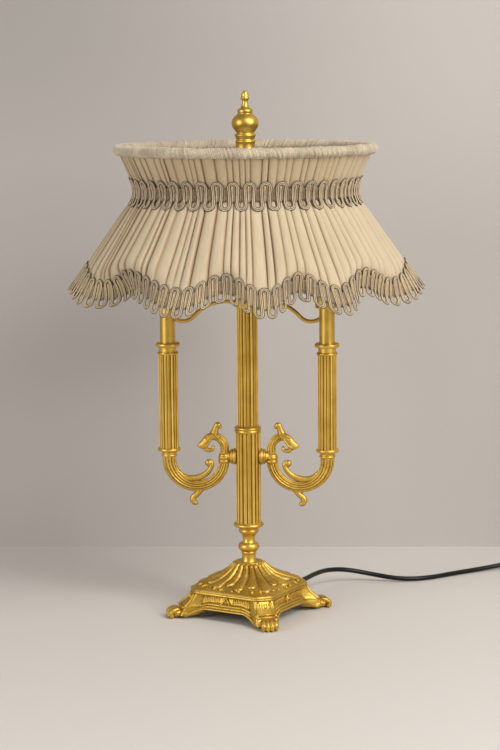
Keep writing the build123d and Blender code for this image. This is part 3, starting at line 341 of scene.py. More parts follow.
def cotton(name, warm):
    """Cream cotton with a fine weave, slubs and painted shade in the creases; the collar's is warmer."""
    colours = bpy.context.scene.lamp_colours
    finish = Finish(name, Sheen_Weight=0.25, Sheen_Roughness=0.6, Specular_IOR_Level=0.2)
    uv = finish.uv()
    threads = {"Vector": uv, "Scale": THREAD_SCALE, "Distortion": 1.5, "Detail": 1.0}
    warp = finish.add("ShaderNodeTexWave", {"bands_direction": "X"}, threads, "Fac")
    weft = finish.add("ShaderNodeTexWave", {"bands_direction": "Y"}, threads, "Fac")
    slub = finish.noise(finish.stretched(uv, (900.0, 60.0, 1.0)), scale=1.0, detail=3.0)
    cloud = finish.noise(finish.place(), scale=18.0)
    weave = warp * weft
    # The fold attribute holds the painted shade in the creases and inside the cloth
    fold = finish.attribute("fold")
    light = tinted(colours.cloth, COLLAR_TINT, warm)
    tone = finish.mix(finish.between(slub + 0.5 * cloud, 0.5, 1.05), dimmed(light, 0.86), light)
    tone = finish.mix(fold, tone, colours.cloth_crease_shade)
    bump = finish.bump(weave + 0.6 * slub, 0.35, WEAVE_DEPTH)
    return finish.set(Base_Color=tone, Roughness=0.85 - 0.1 * slub, Normal=bump)


def yarn_wool(name):
    """Soft cream yarn with a fuzzy, cloudy surface."""
    colours = bpy.context.scene.lamp_colours
    finish = Finish(name, Roughness=0.9, Sheen_Weight=0.4, Specular_IOR_Level=0.15)
    place = finish.place()
    fuzz = finish.noise(place, scale=900.0, detail=4.0, rough=0.7)
    cloud = finish.noise(place, scale=60.0)
    light = finish.between(fuzz + 0.6 * cloud, 0.5, 1.1)
    tone = finish.mix(light, dimmed(colours.yarn, 0.5), colours.yarn)
    return finish.set(Base_Color=tone, Normal=finish.bump(fuzz, 0.6, FUZZ_DEPTH))


def gimp_thread(name, golden):
    """Silky gimp: dark edge strands, pale strands, a woven middle, fine fibres and painted glints along
    them.
    """
    colours = bpy.context.scene.lamp_colours
    finish = Finish(name, Roughness=0.55, Sheen_Weight=0.1)
    place = finish.place()
    strand = finish.attribute("strand")
    hue = finish.noise(place, scale=55.0)
    fibre = finish.noise(finish.stretched(place, (1.0, 1.0, 0.4)), scale=1800.0)
    cool = tinted(colours.gimp_light, COOL_TINT)
    pale = tinted(colours.gimp_light, GOLDEN_TINT, golden)
    weave = tinted(colours.gimp_weave, GOLDEN_WEAVE, golden)
    light = finish.mix(finish.between(hue, 0.42, 0.62), pale, cool)
    tone = finish.mix(finish.between(strand, 0.0, 0.5), colours.gimp_dark, weave)
    tone = finish.mix(finish.between(strand, 0.5, 1.0), tone, light)
    # Painted glints: pale colour mixed in along the fine fibres
    tone = finish.mix(finish.between(fibre, 0.35, 0.75) * FIBRE_GLINT_SHARE, tone, FIBRE_PAINTED_GLINT)
    return finish.set(Base_Color=tone, Normal=finish.bump(fibre, 0.5, FIBRE_DEPTH))


def plain(name, colour, rough, metal=0.0, scale=400.0, **shader):
    """A moulded, plated or painted finish with a faint grain and cloud."""
    finish = Finish(name, Metallic=metal, **shader)
    grain = finish.noise(finish.place(), scale, detail=3.0)
    tone = finish.mix(finish.between(grain, 0.3, 0.7), dimmed(colour, 0.8), colour)
    bump = finish.bump(grain, 0.12, MOULDED_DEPTH)
    return finish.set(Base_Color=tone, Roughness=rough + 0.1 * grain, Normal=bump)


# Mesh helpers, in millimetres until the mesh is made
class Casting:
    """Collects closed shells of points and turns them into one mesh."""

    def __init__(self):
        self.points = []
        self.faces = []

    def rings(self, rows, capped=True, looped=False):
        """Skin rings that have the same number of points."""
        base = len(self.points)
        count = len(rows[0])
        for row in rows:
            self.points.extend(Vector(point) for point in row)
        for index in range(len(rows) if looped else len(rows) - 1):
            here = base + index * count
            there = base + (index + 1) % len(rows) * count
            for step in range(count):
                after = (step + 1) % count
                self.faces.append((here + step, here + after, there + after, there + step))
        if capped:
            last = base + (len(rows) - 1) * count
            self.faces.append(tuple(range(base + count - 1, base - 1, -1)))
            self.faces.append(tuple(range(last, last + count)))

    def tube(self, path, radii, sides=12, squash=1.0, reeds=0, reed_depth=0.0):
        """A round, flattened or reeded bar along points in the plane of the arms."""
        rows = []
        for index, (point, radius) in enumerate(zip(path, radii)):
            before = Vector(path[max(index - 1, 0)])
            after = Vector(path[min(index + 1, len(path) - 1)])
            along = (after - before).normalized()
            flat = Vector((0, 1, 0))
            if abs(along.y) > 0.9:
                flat = Vector((0, 0, 1))
            up = along.cross(flat).normalized()
            flat = up.cross(along).normalized()
            row = []
            for step in range(sides):
                turn = tau * step / sides
                reach = radius
                if reeds:
                    reach = radius - reed_depth * (1 - abs(sin(reeds * turn / 2)))
                row.append(Vector(point) + reach * (cos(turn) * up + squash * sin(turn) * flat))
            rows.append(row)
        self.rings(rows)

    def bar(self, points, radii, steps, sides=12, squash=1.0, reeds=0, reed_depth=0.0):
        """A bar on a smooth curve through a few points, with its radii spread along it."""
        path = eased(points, steps)
        self.tube(path, stepped(radii, len(path)), sides, squash, reeds, reed_depth)

    def ball(self, centre, size, sides=14):
        """A sphere, or an ellipsoid where the size has three values."""
        sizes = Vector(size) if hasattr(size, "__len__") else Vector((size, size, size))
        rows = []
        for level in range(1, sides):
            tilt = pi * level / sides
            row = []
            for step in range(sides):
                turn = tau * step / sides
                point = Vector((sin(tilt) * cos(turn), sin(tilt) * sin(turn), cos(tilt)))
                row.append(Vector(centre) + point * sizes)
            rows.append(row)
        self.rings(rows)

    def turned(self, profile, centre, axis, sides=40):
        """A solid turned from (distance along, radius) stations about an axis."""
        along = Vector(axis).normalized()
        across = along.orthogonal().normalized()
        other = along.cross(across)
        rows = []
        for distance, radius in profile:
            row = []
            for step in range(sides):
                turn = tau * step / sides
                spoke = cos(turn) * across + sin(turn) * other
                row.append(Vector(centre) + distance * along + radius * spoke)
            rows.append(row)
        self.rings(rows)

    def mirrored(self):
        """The same shells on the other side of the lamp."""
        other = Casting()
        other.points = [Vector((-point.x, point.y, point.z)) for point in self.points]
        other.faces = [tuple(reversed(face)) for face in self.faces]
        return other

    def mesh(self, name):
        mesh = bpy.data.meshes.new(name)
        mesh.from_pydata([point * MM for point in self.points], [], self.faces)
        shell = bmesh.new()
        shell.from_mesh(mesh)
        bmesh.ops.recalc_face_normals(shell, faces=shell.faces)
        shell.to_mesh(mesh)
        shell.free()
        return mesh


HOLLOW_PASSES = 3
HOLLOW_GAIN = 4


def mark_hollows(mesh):
    """Store how far each point lies in a hollow, for the patina and painted shade there."""
    count = len(mesh.vertices)
    places = np.zeros(count * 3)
    normals = np.zeros(count * 3)
    edges = np.zeros(len(mesh.edges) * 2, int)
    mesh.vertices.foreach_get("co", places)
    mesh.vertices.foreach_get("normal", normals)
    mesh.edges.foreach_get("vertices", edges)
    places = places.reshape(-1, 3)
    normals = normals.reshape(-1, 3)
    first, second = edges.reshape(-1, 2).T
    step = places[second] - places[first]
    step /= np.maximum(np.linalg.norm(step, axis=1), 1e-9)[:, None]
    total = np.zeros(count)
    number = np.zeros(count)
    np.add.at(total, first, (normals[first] * step).sum(1))
    np.add.at(total, second, -(normals[second] * step).sum(1))
    np.add.at(number, first, 1)
    np.add.at(number, second, 1)
    patina_and_shade = total / np.maximum(number, 1)
    for _ in range(HOLLOW_PASSES):
        spread = np.zeros(count)
        np.add.at(spread, first, patina_and_shade[second])
        np.add.at(spread, second, patina_and_shade[first])
        patina_and_shade = 0.5 * patina_and_shade + 0.5 * spread / np.maximum(number, 1)
    layer = mesh.attributes.new("patina_and_shade", "FLOAT", "POINT")
    layer.data.foreach_set("value", np.clip(patina_and_shade * HOLLOW_GAIN, 0, 1))


def piece(name, mesh, material, body="stand", replaces=()):
    """Put a finished mesh in the scene as a piece that rides on a body."""
    thing = bpy.data.objects.new(name, mesh)
    bpy.context.scene.collection.objects.link(thing)
    if material.name not in mesh.materials:
        mesh.materials.clear()
        mesh.materials.append(material)
    mesh.shade_smooth()
    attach(thing, body)
    if replaces:
        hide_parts(*replaces)
    return thing


def finished(thing):
    """The mesh that an object's modifiers give."""
    bpy.context.view_layer.update()
    graph = bpy.context.evaluated_depsgraph_get()
    return bpy.data.meshes.new_from_object(thing.evaluated_get(graph), depsgraph=graph)


def with_modifier(name, mesh, kind, **settings):
    """The mesh after one modifier."""
    thing = bpy.data.objects.new(name, mesh)
    bpy.context.scene.collection.objects.link(thing)
    modifier = thing.modifiers.new(kind.lower(), kind)
    for key, value in settings.items():
        setattr(modifier, key, value)
    result = finished(thing)
    bpy.data.objects.remove(thing)
    return result


def dress(nodes, material):
    """Give pieces of the frame a better material."""
    for name in nodes:
        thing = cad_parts[name]
        if not thing.material_slots:
            thing.data.materials.append(material)
        for slot in thing.material_slots:
            slot.material = material


def eased(points, steps):
    """Points along a smooth curve through a few chosen ones."""
    chosen = [Vector(point) for point in points]
    chosen = [2 * chosen[0] - chosen[1]] + chosen + [2 * chosen[-1] - chosen[-2]]
    path = []
    for before, start, end, after in zip(chosen, chosen[1:], chosen[2:], chosen[3:]):
        for step in range(steps):
            t = step / steps
            path.append(0.5 * (2 * start + (end - before) * t
                               + (2 * before - 5 * start + 4 * end - after) * t**2
                               + (3 * start - before - 3 * end + after) * t**3))
    path.append(chosen[-2])
    return path


def stepped(values, count):
    """Values spread evenly over a count by straight lines."""
    places = [index * (len(values) - 1) / (count - 1) for index in range(count)]
    return np.interp(places, range(len(values)), values).tolist()


def smooth_step(value, low, high):
    share = min(max((value - low) / (high - low), 0), 1)
    return share * share * (3 - 2 * share)


# Repeated units placed by geometry nodes
def repeat_tree():
    """A node tree that sets one unit on every guide point, turned by the point's own axes."""
    tree = bpy.data.node_groups.new("repeat_units", "GeometryNodeTree")
    sockets = {"Guides": "Geometry", "Unit": "Object", "Size Jitter": "Float", "Seed": "Int",
               "Finish": "Material"}
    for name, kind in sockets.items():
        tree.interface.new_socket(name, in_out="INPUT", socket_type="NodeSocket" + kind)
    tree.interface.new_socket("Geometry", in_out="OUTPUT", socket_type="NodeSocketGeometry")
    add = tree.nodes.new
    link = tree.links.new
    given = add("NodeGroupInput")
    result = add("NodeGroupOutput")
    unit = add("GeometryNodeObjectInfo")
    link(given.outputs["Unit"], unit.inputs["Object"])
    turn = add("FunctionNodeAxesToRotation")
    turn.primary_axis = "Z"
    turn.secondary_axis = "X"
    for name, socket in (("facing", "Primary Axis"), ("along", "Secondary Axis")):
        axis = add("GeometryNodeInputNamedAttribute")
        axis.data_type = "FLOAT_VECTOR"
        axis.inputs["Name"].default_value = name
        link(axis.outputs["Attribute"], turn.inputs[socket])
    less = add("ShaderNodeMath")
    less.operation = "SUBTRACT"
    less.inputs[0].default_value = 1.0
    link(given.outputs["Size Jitter"], less.inputs[1])
    more = add("ShaderNodeMath")
    more.inputs[0].default_value = 1.0
    link(given.outputs["Size Jitter"], more.inputs[1])
    size = add("FunctionNodeRandomValue")
    size.data_type = "FLOAT"
    link(less.outputs[0], size.inputs[2])
    link(more.outputs[0], size.inputs[3])
    link(given.outputs["Seed"], size.inputs["Seed"])
    spread = add("GeometryNodeInstanceOnPoints")
    link(given.outputs["Guides"], spread.inputs["Points"])
    link(unit.outputs["Geometry"], spread.inputs["Instance"])
    link(turn.outputs[0], spread.inputs["Rotation"])
    link(size.outputs[1], spread.inputs["Scale"])
    real = add("GeometryNodeRealizeInstances")
    link(spread.outputs[0], real.inputs[0])
    coat = add("GeometryNodeSetMaterial")
    link(real.outputs[0], coat.inputs["Geometry"])
    link(given.outputs["Finish"], coat.inputs["Material"])
    link(coat.outputs[0], result.inputs[0])
    return tree


def repeated(name, guides, unit, material, jitter=0.0, seed=1):
    """One mesh of a unit set on guides, each a (place, facing, along) in millimetres."""
    tree = bpy.data.node_groups.get("repeat_units") or repeat_tree()
    mesh = bpy.data.meshes.new(name)
    mesh.from_pydata([place * MM for place, _, _ in guides], [], [])
    for label, index in (("facing", 1), ("along", 2)):
        layer = mesh.attributes.new(label, "FLOAT_VECTOR", "POINT")
        layer.data.foreach_set("vector", [value for guide in guides for value in guide[index]])
    holder = bpy.data.objects.new(name + "_unit", unit)
    thing = bpy.data.objects.new(name + "_guides", mesh)
    for item in (holder, thing):
        bpy.context.scene.collection.objects.link(item)
    modifier = thing.modifiers.new("repeat", "NODES")
    modifier.node_group = tree
    values = {"Unit": holder, "Size Jitter": jitter, "Seed": seed, "Finish": material}
    for item in tree.interface.items_tree:
        if item.in_out == "INPUT" and item.name in values:
            modifier[item.identifier] = values[item.name]
    result = finished(thing)
    for item in (thing, holder):
        bpy.data.objects.remove(item)
    for label in ("facing", "along"):
        if label in result.attributes:
            result.attributes.remove(result.attributes[label])
    return result


# Base casting: halves are measured from the middle to a flat side, shares run down a surface
PAW_DEGREES = 20
BASE_TURN = radians(PAW_DEGREES - 45)
SLAB_HALF = 54.0
SLAB_CORNER = 13.0
SLAB_LOW = 28.0
SLAB_PROFILE = ((53.2, 32.5), (53.8, 32.1), (54.0, 31.4), (53.3, 30.6), (53.9, 29.8), (54.0, 28.8),
                (53.6, 28.1))
APRON_TOP_HALF = 50.0
APRON_FOOT_HALF = 57.0
APRON_CORNER = 15.0
APRON_CURVE = 1.6
BEADS_START = 0.52
BEAD_SHARE = 0.16
BEAD_ROUND = 0.6
BEAD_EDGE = (9, 13)
FRIEZE_SINK = 0.8
FRIEZE_TOP = (0.05, 0.09)
FRIEZE_FOOT = (0.48, BEADS_START)
ARCH_HEIGHT = 12.0
LEG_DROP = 8.5
LEG_SHARES = (0.0, 0.3, 0.62, 1.0)
LEG_REACHES = (65.6, 70.0, 79.0, 84.0)
LEG_EDGE = (9.5, 15)
ARCH_EDGE = (10, 23)
WALL = 4.5
BASE_COLUMNS = 480
DOME_LEVELS = 64
APRON_LEVELS = 40
DOME_STATIONS = ((60.0, 15.5), (57.5, 16.6), (54.0, 19.2), (50.0, 24.4), (46.0, 30.8), (43.0, 38.5),
                 (40.5, 46.8), (38.0, 53.6), (36.0, 58.0), (34.2, 62.6), (32.9, 66.0))
LEAVES = 20
LEAF_RISE = 3.0
LEAF_HALF = 0.42
LEAF_BEND = 0.07
LEAF_TIP = 0.74
TIP_SHIFT = 0.07
TIP_LENGTH = 0.12
BEND_PHASE = 0.6
LEAF_ROUND = 0.7
LEAF_START = (0.01, 0.16)
LEAF_FADE = 0.35
SWELL_OUT = 0.6
SWELL_UP = 0.8
INNER_APRON = (1.0, 0.7, 0.4, 0.0)
INNER_DOME = (0.85, 0.7, 0.55, 0.4)
COMMA_LEAVES = 28
COMMA_FOOT = 0.86
COMMA_SWAY = 0.04
# Points of a comma leaf: turn aside, share down from its foot and lift
COMMA_POINTS = ((0.0, -0.11, 0.4), (0.035, -0.04, 0.7), (0.02, 0.02, 0.5))
# Points of a cartouche's scroll: share down the apron and distance aside
CARTOUCHE_POINTS = ((0.04, 0.6), (0.2, 1.6), (0.36, 3.2), (0.5, 5.2), (0.56, 7.4))
CARTOUCHE_LIFT = 0.7
PANEL_STEPS = 8
PANEL_TOP = 0.03
PANEL_DROP = 0.6
PANEL_HALF = 7.0
PANEL_SPREAD = 4.2
PANEL_CURVE = 1.5
PANEL_LIFT = 0.2
# Sills across the foot of a panel: distance up its slope and radius
PANEL_SILLS = ((0.0, 1.7), (3.2, 1.1))
SILL_RISE = 0.8
SILL_INWARD = 0.6
SILL_BOW = 1.1
CORE_RADIUS = 13.0
CORE_LOW = 25.0
CORE_TOP = 46.0
ROD_GAP = 0.2
DOME_LIP = 1.2
REED_PITCH = 2.3
FRIEZE_LENGTH = 57
CARTOUCHE_HALF = 7
FRIEZE_MIDDLE = 0.28
FRIEZE_LEAN = 0.12
CORNER_REEDS = range(-2, 3)
CORNER_REED_TURN = 0.038
CORNER_MIDDLE = 0.2
CORNER_LEAN = 0.7
REED_JITTER = 0.06
REED_SEED = 3
PAW_VOXEL = 0.55


def plan_radius(half, corner, turn, sharp=60):
    """Reach of a square with clipped, softened corners in one direction."""
    across = abs(cos(turn))
    up = abs(sin(turn))
    clipped = (across + up) / (2 * half - corner)
    total = (across / half) ** sharp + (up / half) ** sharp + clipped**sharp
    return total ** (-1 / sharp)


def dome_radius(height_share, reach, turn):
    """Reach of the dome: round at its top, a clipped square at its foot."""
    square = plan_radius(SLAB_HALF, SLAB_CORNER, turn) / plan_radius(SLAB_HALF, SLAB_CORNER, pi / 4)
    return reach * (1 + (square - 1) * height_share)


def leaf_height(turn, share):
    """Swell of the leaf ribs that run down the dome and end in rounded tips."""
    bend = LEAF_BEND * sin(tau * share) * sin(2 * turn + BEND_PHASE)
    place = LEAVES * (turn + bend) / tau
    number = round(place)
    tip = LEAF_TIP + TIP_SHIFT * cos(pi * number)
    closing = max(share - tip + TIP_LENGTH, 0) / TIP_LENGTH
    width = LEAF_HALF * max(1 - closing**2, 0) ** 0.5
    if width <= abs(place - number):
        return 0.0
    rib = (1 - ((place - number) / width) ** 2) ** LEAF_ROUND
    return LEAF_RISE * rib * smooth_step(share, *LEAF_START) * (1 - LEAF_FADE * share)


def off_corner(turn, reach):
    """Distance of a point from the nearest diagonal of the base."""
    return reach * abs(sin((turn % (pi / 2)) - pi / 4))


def apron_point(turn, share, inset=0.0):
    """Reach and height on the apron, from the slab at 0 down to its arched lower edge at 1."""
    half = APRON_TOP_HALF + (APRON_FOOT_HALF - APRON_TOP_HALF) * share**APRON_CURVE - inset
    reach = plan_radius(half, APRON_CORNER, turn)
    aside = off_corner(turn, reach)
    leg = 1 - smooth_step(aside, *LEG_EDGE)
    lower = ARCH_HEIGHT - LEG_DROP * (1 - smooth_step(aside, *ARCH_EDGE))
    leg_reach = float(np.interp(share, LEG_SHARES, LEG_REACHES))
    reach += (leg_reach - inset - plan_radius(half, APRON_CORNER, pi / 4)) * leg
    if not inset:
        beads = 0.0
        if share > BEADS_START:
            beads = abs(sin(pi * (share - BEADS_START) / BEAD_SHARE)) ** BEAD_ROUND
        band = -FRIEZE_SINK * smooth_step(share, *FRIEZE_TOP) * (1 - smooth_step(share, *FRIEZE_FOOT))
        reach += (beads + band) * smooth_step(aside, *BEAD_EDGE)
    height = SLAB_LOW + (lower - SLAB_LOW) * share
    return reach, height


def base_point(turn, reach, height):
    """A point of the base, which stands turned on the table."""
    return Vector((reach * cos(turn + BASE_TURN), reach * sin(turn + BASE_TURN), height))


def base_side(turn):
    """Level direction along the base's edge, across the one that the turn gives."""
    return Vector((-sin(turn + BASE_TURN), cos(turn + BASE_TURN), 0))


def dome_point(turn, share, swell=0.0):
    """A point of the dome from its top at 0 to the slab at 1, raised by a swell."""
    place = share * (len(DOME_STATIONS) - 1)
    height, reach = (float(np.interp(place, range(len(column)), column)) for column in zip(*DOME_STATIONS))
    reach = dome_radius(share, reach, turn) + SWELL_OUT * swell
    return base_point(turn, reach, height + SWELL_UP * swell)


def base_shell():
    """The casting as one closed skin: dome, slab, apron, and back up inside to the rod's hole."""
    turns = [tau * step / BASE_COLUMNS for step in range(BASE_COLUMNS)]
    rows = []

    def ring(height, reach):
        rows.append([base_point(turn, reach, height) for turn in turns])

    def apron_ring(share, inset=0.0):
        rows.append([base_point(turn, *apron_point(turn, share, inset)) for turn in turns])

    hole = ROD_RADIUS + ROD_GAP
    ring(BASE_TOP, hole)
    ring(BASE_TOP, DOME_STATIONS[0][1] - DOME_LIP)
    for level in range(DOME_LEVELS + 1):
        share = level / DOME_LEVELS
        rows.append([dome_point(turn, share, leaf_height(turn, share)) for turn in turns])
    for half, height in (*SLAB_PROFILE, (APRON_TOP_HALF + 1, SLAB_LOW)):
        rows.append([base_point(turn, plan_radius(half, SLAB_CORNER, turn), height) for turn in turns])
    for level in range(APRON_LEVELS + 1):
        apron_ring(level / APRON_LEVELS)
    for share in INNER_APRON:
        apron_ring(share, WALL)
    for share in INNER_DOME:
        rows.append([dome_point(turn, share, -WALL) for turn in turns])
    ring(CORE_TOP, CORE_RADIUS)
    ring(CORE_LOW, CORE_RADIUS)
    ring(CORE_LOW, hole)
    shell = Casting()
    shell.rings(rows, capped=False, looped=True)
    return shell.mesh("base_shell")


def paw_shell():
    """One lion-style paw: pad, four toes with claws and a small volute each side."""
    paw = Casting()
    paw.ball((79.5, 0, 6.8), (9.0, 8.4, 6.2))
    paw.ball((85.0, 0, 6.0), (8.6, 9.4, 5.6))
    for across in (-6.6, -2.2, 2.2, 6.6):
        tip = 95.4 - abs(across) * 0.5
        toe = [(81.0, across * 0.75, 8.8), (85.5, across * 0.92, 10.2), (90.0, across * 1.03, 9.0),
               (93.4, across * 1.07, 6.0), (tip, across * 1.08, 3.3)]
        paw.bar(toe, [1.8, 2.7, 2.9, 2.7, 2.4], 3)
        paw.ball((tip, across * 1.08, 2.9), 2.5)
        claw = [(tip, across * 1.1, 3.0), (tip + 2.0, across * 1.13, 1.7),
                (tip + 2.8, across * 1.14, 0.8)]
        paw.tube(claw, [1.3, 0.9, 0.4])
    for hand in (-1, 1):
        curl = [(57.5, hand * 21.5, 12.6), (64.5, hand * 17.0, 10.2), (71.5, hand * 13.6, 6.6),
                (77.0, hand * 11.8, 4.4), (79.6, hand * 11.4, 6.4), (77.6, hand * 11.4, 8.2)]
        paw.bar(curl, [1.0, 1.6, 2.0, 2.2, 1.9, 1.4], 4)
        paw.ball((77.2, hand * 11.4, 6.2), (2.8, 2.2, 2.8))
    mesh = paw.mesh("paw")
    mesh = with_modifier("paw", mesh, "REMESH", mode="VOXEL", voxel_size=PAW_VOXEL * MM)
    mesh = with_modifier("paw", mesh, "SMOOTH", factor=0.5, iterations=2)
    for vertex in mesh.vertices:
        vertex.co.z = max(vertex.co.z, 0.0)
    return mesh


def base_ornament():
    """Comma-shaped leaves on the dome's foot, a cartouche on each side, framed panels on the corners."""
    relief = Casting()
    for number in range(COMMA_LEAVES):
        turn = tau * (number + 0.5) / COMMA_LEAVES
        hand = 1 if number % 2 else -1
        foot = COMMA_FOOT + COMMA_SWAY * cos(4 * turn)
        comma = [dome_point(turn + hand * aside, foot + down, lift) for aside, down, lift in COMMA_POINTS]
        relief.bar(comma, [0.7, 1.8, 0.9], 4, 8)
    for side in range(4):
        turn = side * pi / 2
        for hand in (-1, 1):
            scroll = []
            for share, across in CARTOUCHE_POINTS:
                reach, height = apron_point(turn, share)
                place = base_point(turn, reach + CARTOUCHE_LIFT, height)
                scroll.append(place + hand * across * base_side(turn))
            relief.bar(scroll, [1.2, 1.5, 1.5, 1.3, 0.8], 3, 8)
        relief.ball(base_point(turn, *apron_point(turn, 0.4)), (2.0, 2.0, 2.2), 10)
    for corner in range(4):
        turn = pi / 4 + corner * pi / 2
        edges = []
        for hand in (-1, 1):
            path = []
            for step in range(PANEL_STEPS + 1):
                share = step / PANEL_STEPS
                reach, height = apron_point(turn, PANEL_TOP + PANEL_DROP * share)
                width = PANEL_HALF + PANEL_SPREAD * share**PANEL_CURVE
                path.append(base_point(turn, reach + PANEL_LIFT, height) + hand * width * base_side(turn))
            relief.tube(path, stepped([1.3, 1.5, 1.8], len(path)), 10)
            edges.append(path[-1])
        first, last = edges
        for climb, size in PANEL_SILLS:
            rise = SILL_RISE * climb * UP - base_point(turn, SILL_INWARD * climb, 0)
            sill = [first + rise, (first + last) / 2 + rise * SILL_BOW, last + rise]
            relief.tube(sill, [size, size, size], 10)
    return relief.mesh("base_ornament")


def hatch_guides():
    """Places of the upright reeds in the frieze round the apron and in its corner panels."""
    guides = []
    count = int(FRIEZE_LENGTH / REED_PITCH)
    for side in range(4):
        middle = side * pi / 2
        for step in range(count + 1):
            along = (step - count / 2) * REED_PITCH
            if abs(along) > CARTOUCHE_HALF:
                turn = middle + atan2(along, APRON_TOP_HALF)
                guides.append(frieze_guide(turn, FRIEZE_MIDDLE, base_point(middle, 1, FRIEZE_LEAN)))
        middle += pi / 4
        for step in CORNER_REEDS:
            turn = middle + CORNER_REED_TURN * step
            guides.append(frieze_guide(turn, CORNER_MIDDLE, base_point(middle, 1, CORNER_LEAN)))
    return guides


def frieze_guide(turn, share, outward):
    """Place and axes of one reed on the apron."""
    place = base_point(turn, *apron_point(turn, share))
    return place, outward.normalized(), outward.cross(UP).normalized()


def reed_unit():
    """A slim upright reed of the frieze, lying along its own Y."""
    reed = Casting()
    reed.tube([(0, -2.7, 0), (0, -2.2, 0.1), (0, 2.2, 0.1), (0, 2.7, 0)], [0.35, 0.72, 0.72, 0.35], 6)
    return reed.mesh("frieze_reed")


class LAMP_OT_base(Operator):
    """Make the cast base with its leaves, frieze and paws"""

    bl_idname = "lamp.base"
    bl_label = "Cast Base"

    def execute(self, context):
        cast = brass("cast_brass", cast=True)
        shell = base_shell()
        mark_hollows(shell)
        piece("base_shell", shell, cast, replaces=["base_casting"])
        ornament = base_ornament()
        mark_hollows(ornament)
        piece("base_ornament", ornament, cast)
        paw = paw_shell()
        mark_hollows(paw)
        guides = []
        for corner in range(4):
            turn = radians(PAW_DEGREES + 90 * corner)
            guides.append((Vector((0, 0, 0)), UP, Vector((cos(turn), sin(turn), 0))))
        paws = repeated("base_paws", guides, paw, cast)
        piece("base_paws", paws, cast, replaces=["base_casting"])
        reeds = repeated("base_frieze", hatch_guides(), reed_unit(), cast, REED_JITTER, REED_SEED)
        piece("base_frieze", reeds, cast)
        return {"FINISHED"}


# Arms, with points of the right-hand one as (x, z) or (x, y, z)
SCROLL_RADIUS = 31.5
SCROLL_HEIGHT = 177.5
INNER_X = 27.0
BOSS_HEIGHT = 180.5
ARM_REEDS = 12
REED_DEPTH = 1.15
NECK_REEDS = 10
NECK_DEPTH = 0.8
HOOK_STEPS = 40
HOOK_RADII = (7.9, 7.7, 6.6, 6.2, 6.1, 6.0, 6.0)
JOINT_RING = ((-1.9, 6.0), (-1.5, 6.6), (0, 7.0), (1.5, 6.6), (1.9, 6.0))
JOINT_BAND = ((-4.6, 5.4), (-4.2, 6.1), (5.4, 6.1), (6.2, 5.2))
BOSS_PROFILE = ((COLUMN_RADIUS - 1.0, 8.6), (COLUMN_RADIUS + 0.2, 9.3), (16.2, 9.3), (16.9, 8.4),
                (17.6, 8.0), (18.4, 8.6), (19.4, 8.4), (20.2, 6.4), (21.6, 5.4), (INNER_X - 2, 5.0))
NECK = ((INNER_X, 181), (26.5, 187), (26.9, 193), (29.9, 198.6), (34.8, 202.3), (39.4, 204.0))
HEAD_TOP = ((35.0, 208.2), (39.2, 208.5), (42.6, 207.6), (46.6, 205.8), (50.0, 203.0), (53.2, 198.6),
            (56.0, 195.4), (58.2, 192.2))
HEAD_LOW = ((38.6, 199.3), (41.4, 198.3), (43.6, 195.6), (45.2, 192.4), (46.6, 189.4), (49.4, 187.9),
            (53.2, 188.8), (57.0, 191.2))
HEAD_THICK = (8.6, 9.2, 9.4, 9.0, 8.2, 6.6, 4.4, 1.2)
HEAD_STEPS = 4
HEAD_SIDES = 24
JAW = ((49.0, 188.6), (44.6, 187.2), (40.6, 188.0), (39.4, 190.6), (41.0, 192.4))
CREST = ((38.6, 206.6), (37.0, 210.4), (36.2, 213.6), (34.8, 216.6), (32.4, 216.2))
TENDRIL = ((80.5, 162.5), (74.0, 156.8), (66.0, 154.6), (57.0, 155.8), (49.0, 159.6), (43.2, 166.0),
           (41.4, 172.0), (44.6, 175.4))
TAIL = ((55.0, 141.5), (57.6, 137.4), (61.6, 134.4), (63.4, 130.6), (62.0, 127.0), (58.6, 126.0))
TAIL_LEAF = ((50.0, 142.4), (56.6, 140.6), (64.0, 141.6))


def in_plane(points):
    """Points of the arm's own upright plane."""
    return [(x, 0, z) for x, z in points]


def hook_path():
    """Centre line of the reeded hook from under the candle to the ringed joint."""
    path = [(CANDLE_X, 0, ARM_TOP), (CANDLE_X, 0, ARM_TOP - 1.2)]
    middle = CANDLE_X - SCROLL_RADIUS
    for step in range(HOOK_STEPS + 1):
        turn = -pi * step / HOOK_STEPS
        path.append((middle + SCROLL_RADIUS * cos(turn), 0, SCROLL_HEIGHT + SCROLL_RADIUS * sin(turn)))
    return path


def beast_head(arm):
    """The head as ovals between its upper and lower outline, with jaw, brows, cheeks and mane."""
    tops = eased(in_plane(HEAD_TOP), HEAD_STEPS)
    lows = eased(in_plane(HEAD_LOW), HEAD_STEPS)
    rows = []
    for top, low, size in zip(tops, lows, stepped(HEAD_THICK, len(tops))):
        centre = (top + low) / 2
        half = (top - low) / 2
        row = []
        for step in range(HEAD_SIDES):
            turn = tau * step / HEAD_SIDES
            row.append(centre + cos(turn) * half + Vector((0, size / 2 * sin(turn), 0)))
        rows.append(row)
    arm.rings(rows)
    arm.bar(in_plane(JAW), [2.6, 2.5, 2.0, 1.6, 1.1], 5, 12, 1.2)
    for across in (-1, 1):
        brow = [(39.5, across * 3.6, 205.4), (44.6, across * 4.3, 204.6), (48.6, across * 3.9, 201.6)]
        arm.bar(brow, [0.7, 1.2, 0.6], 4, 8)
        arm.ball((46.6, across * 3.9, 200.6), (1.5, 1.0, 1.3), 10)
        cheek = [(40.8, across * 3.9, 202.0), (43.4, across * 4.4, 197.4), (46.6, across * 3.9, 193.2),
                 (50.4, across * 3.1, 191.6)]
        arm.bar(cheek, [0.6, 1.1, 1.1, 0.5], 4, 8)
        mane = [(36.2, across * 3.8, 205.6), (33.0, across * 4.3, 201.6), (30.8, across * 4.4, 196.6)]
        arm.bar(mane, [0.6, 1.0, 0.5], 4, 8)


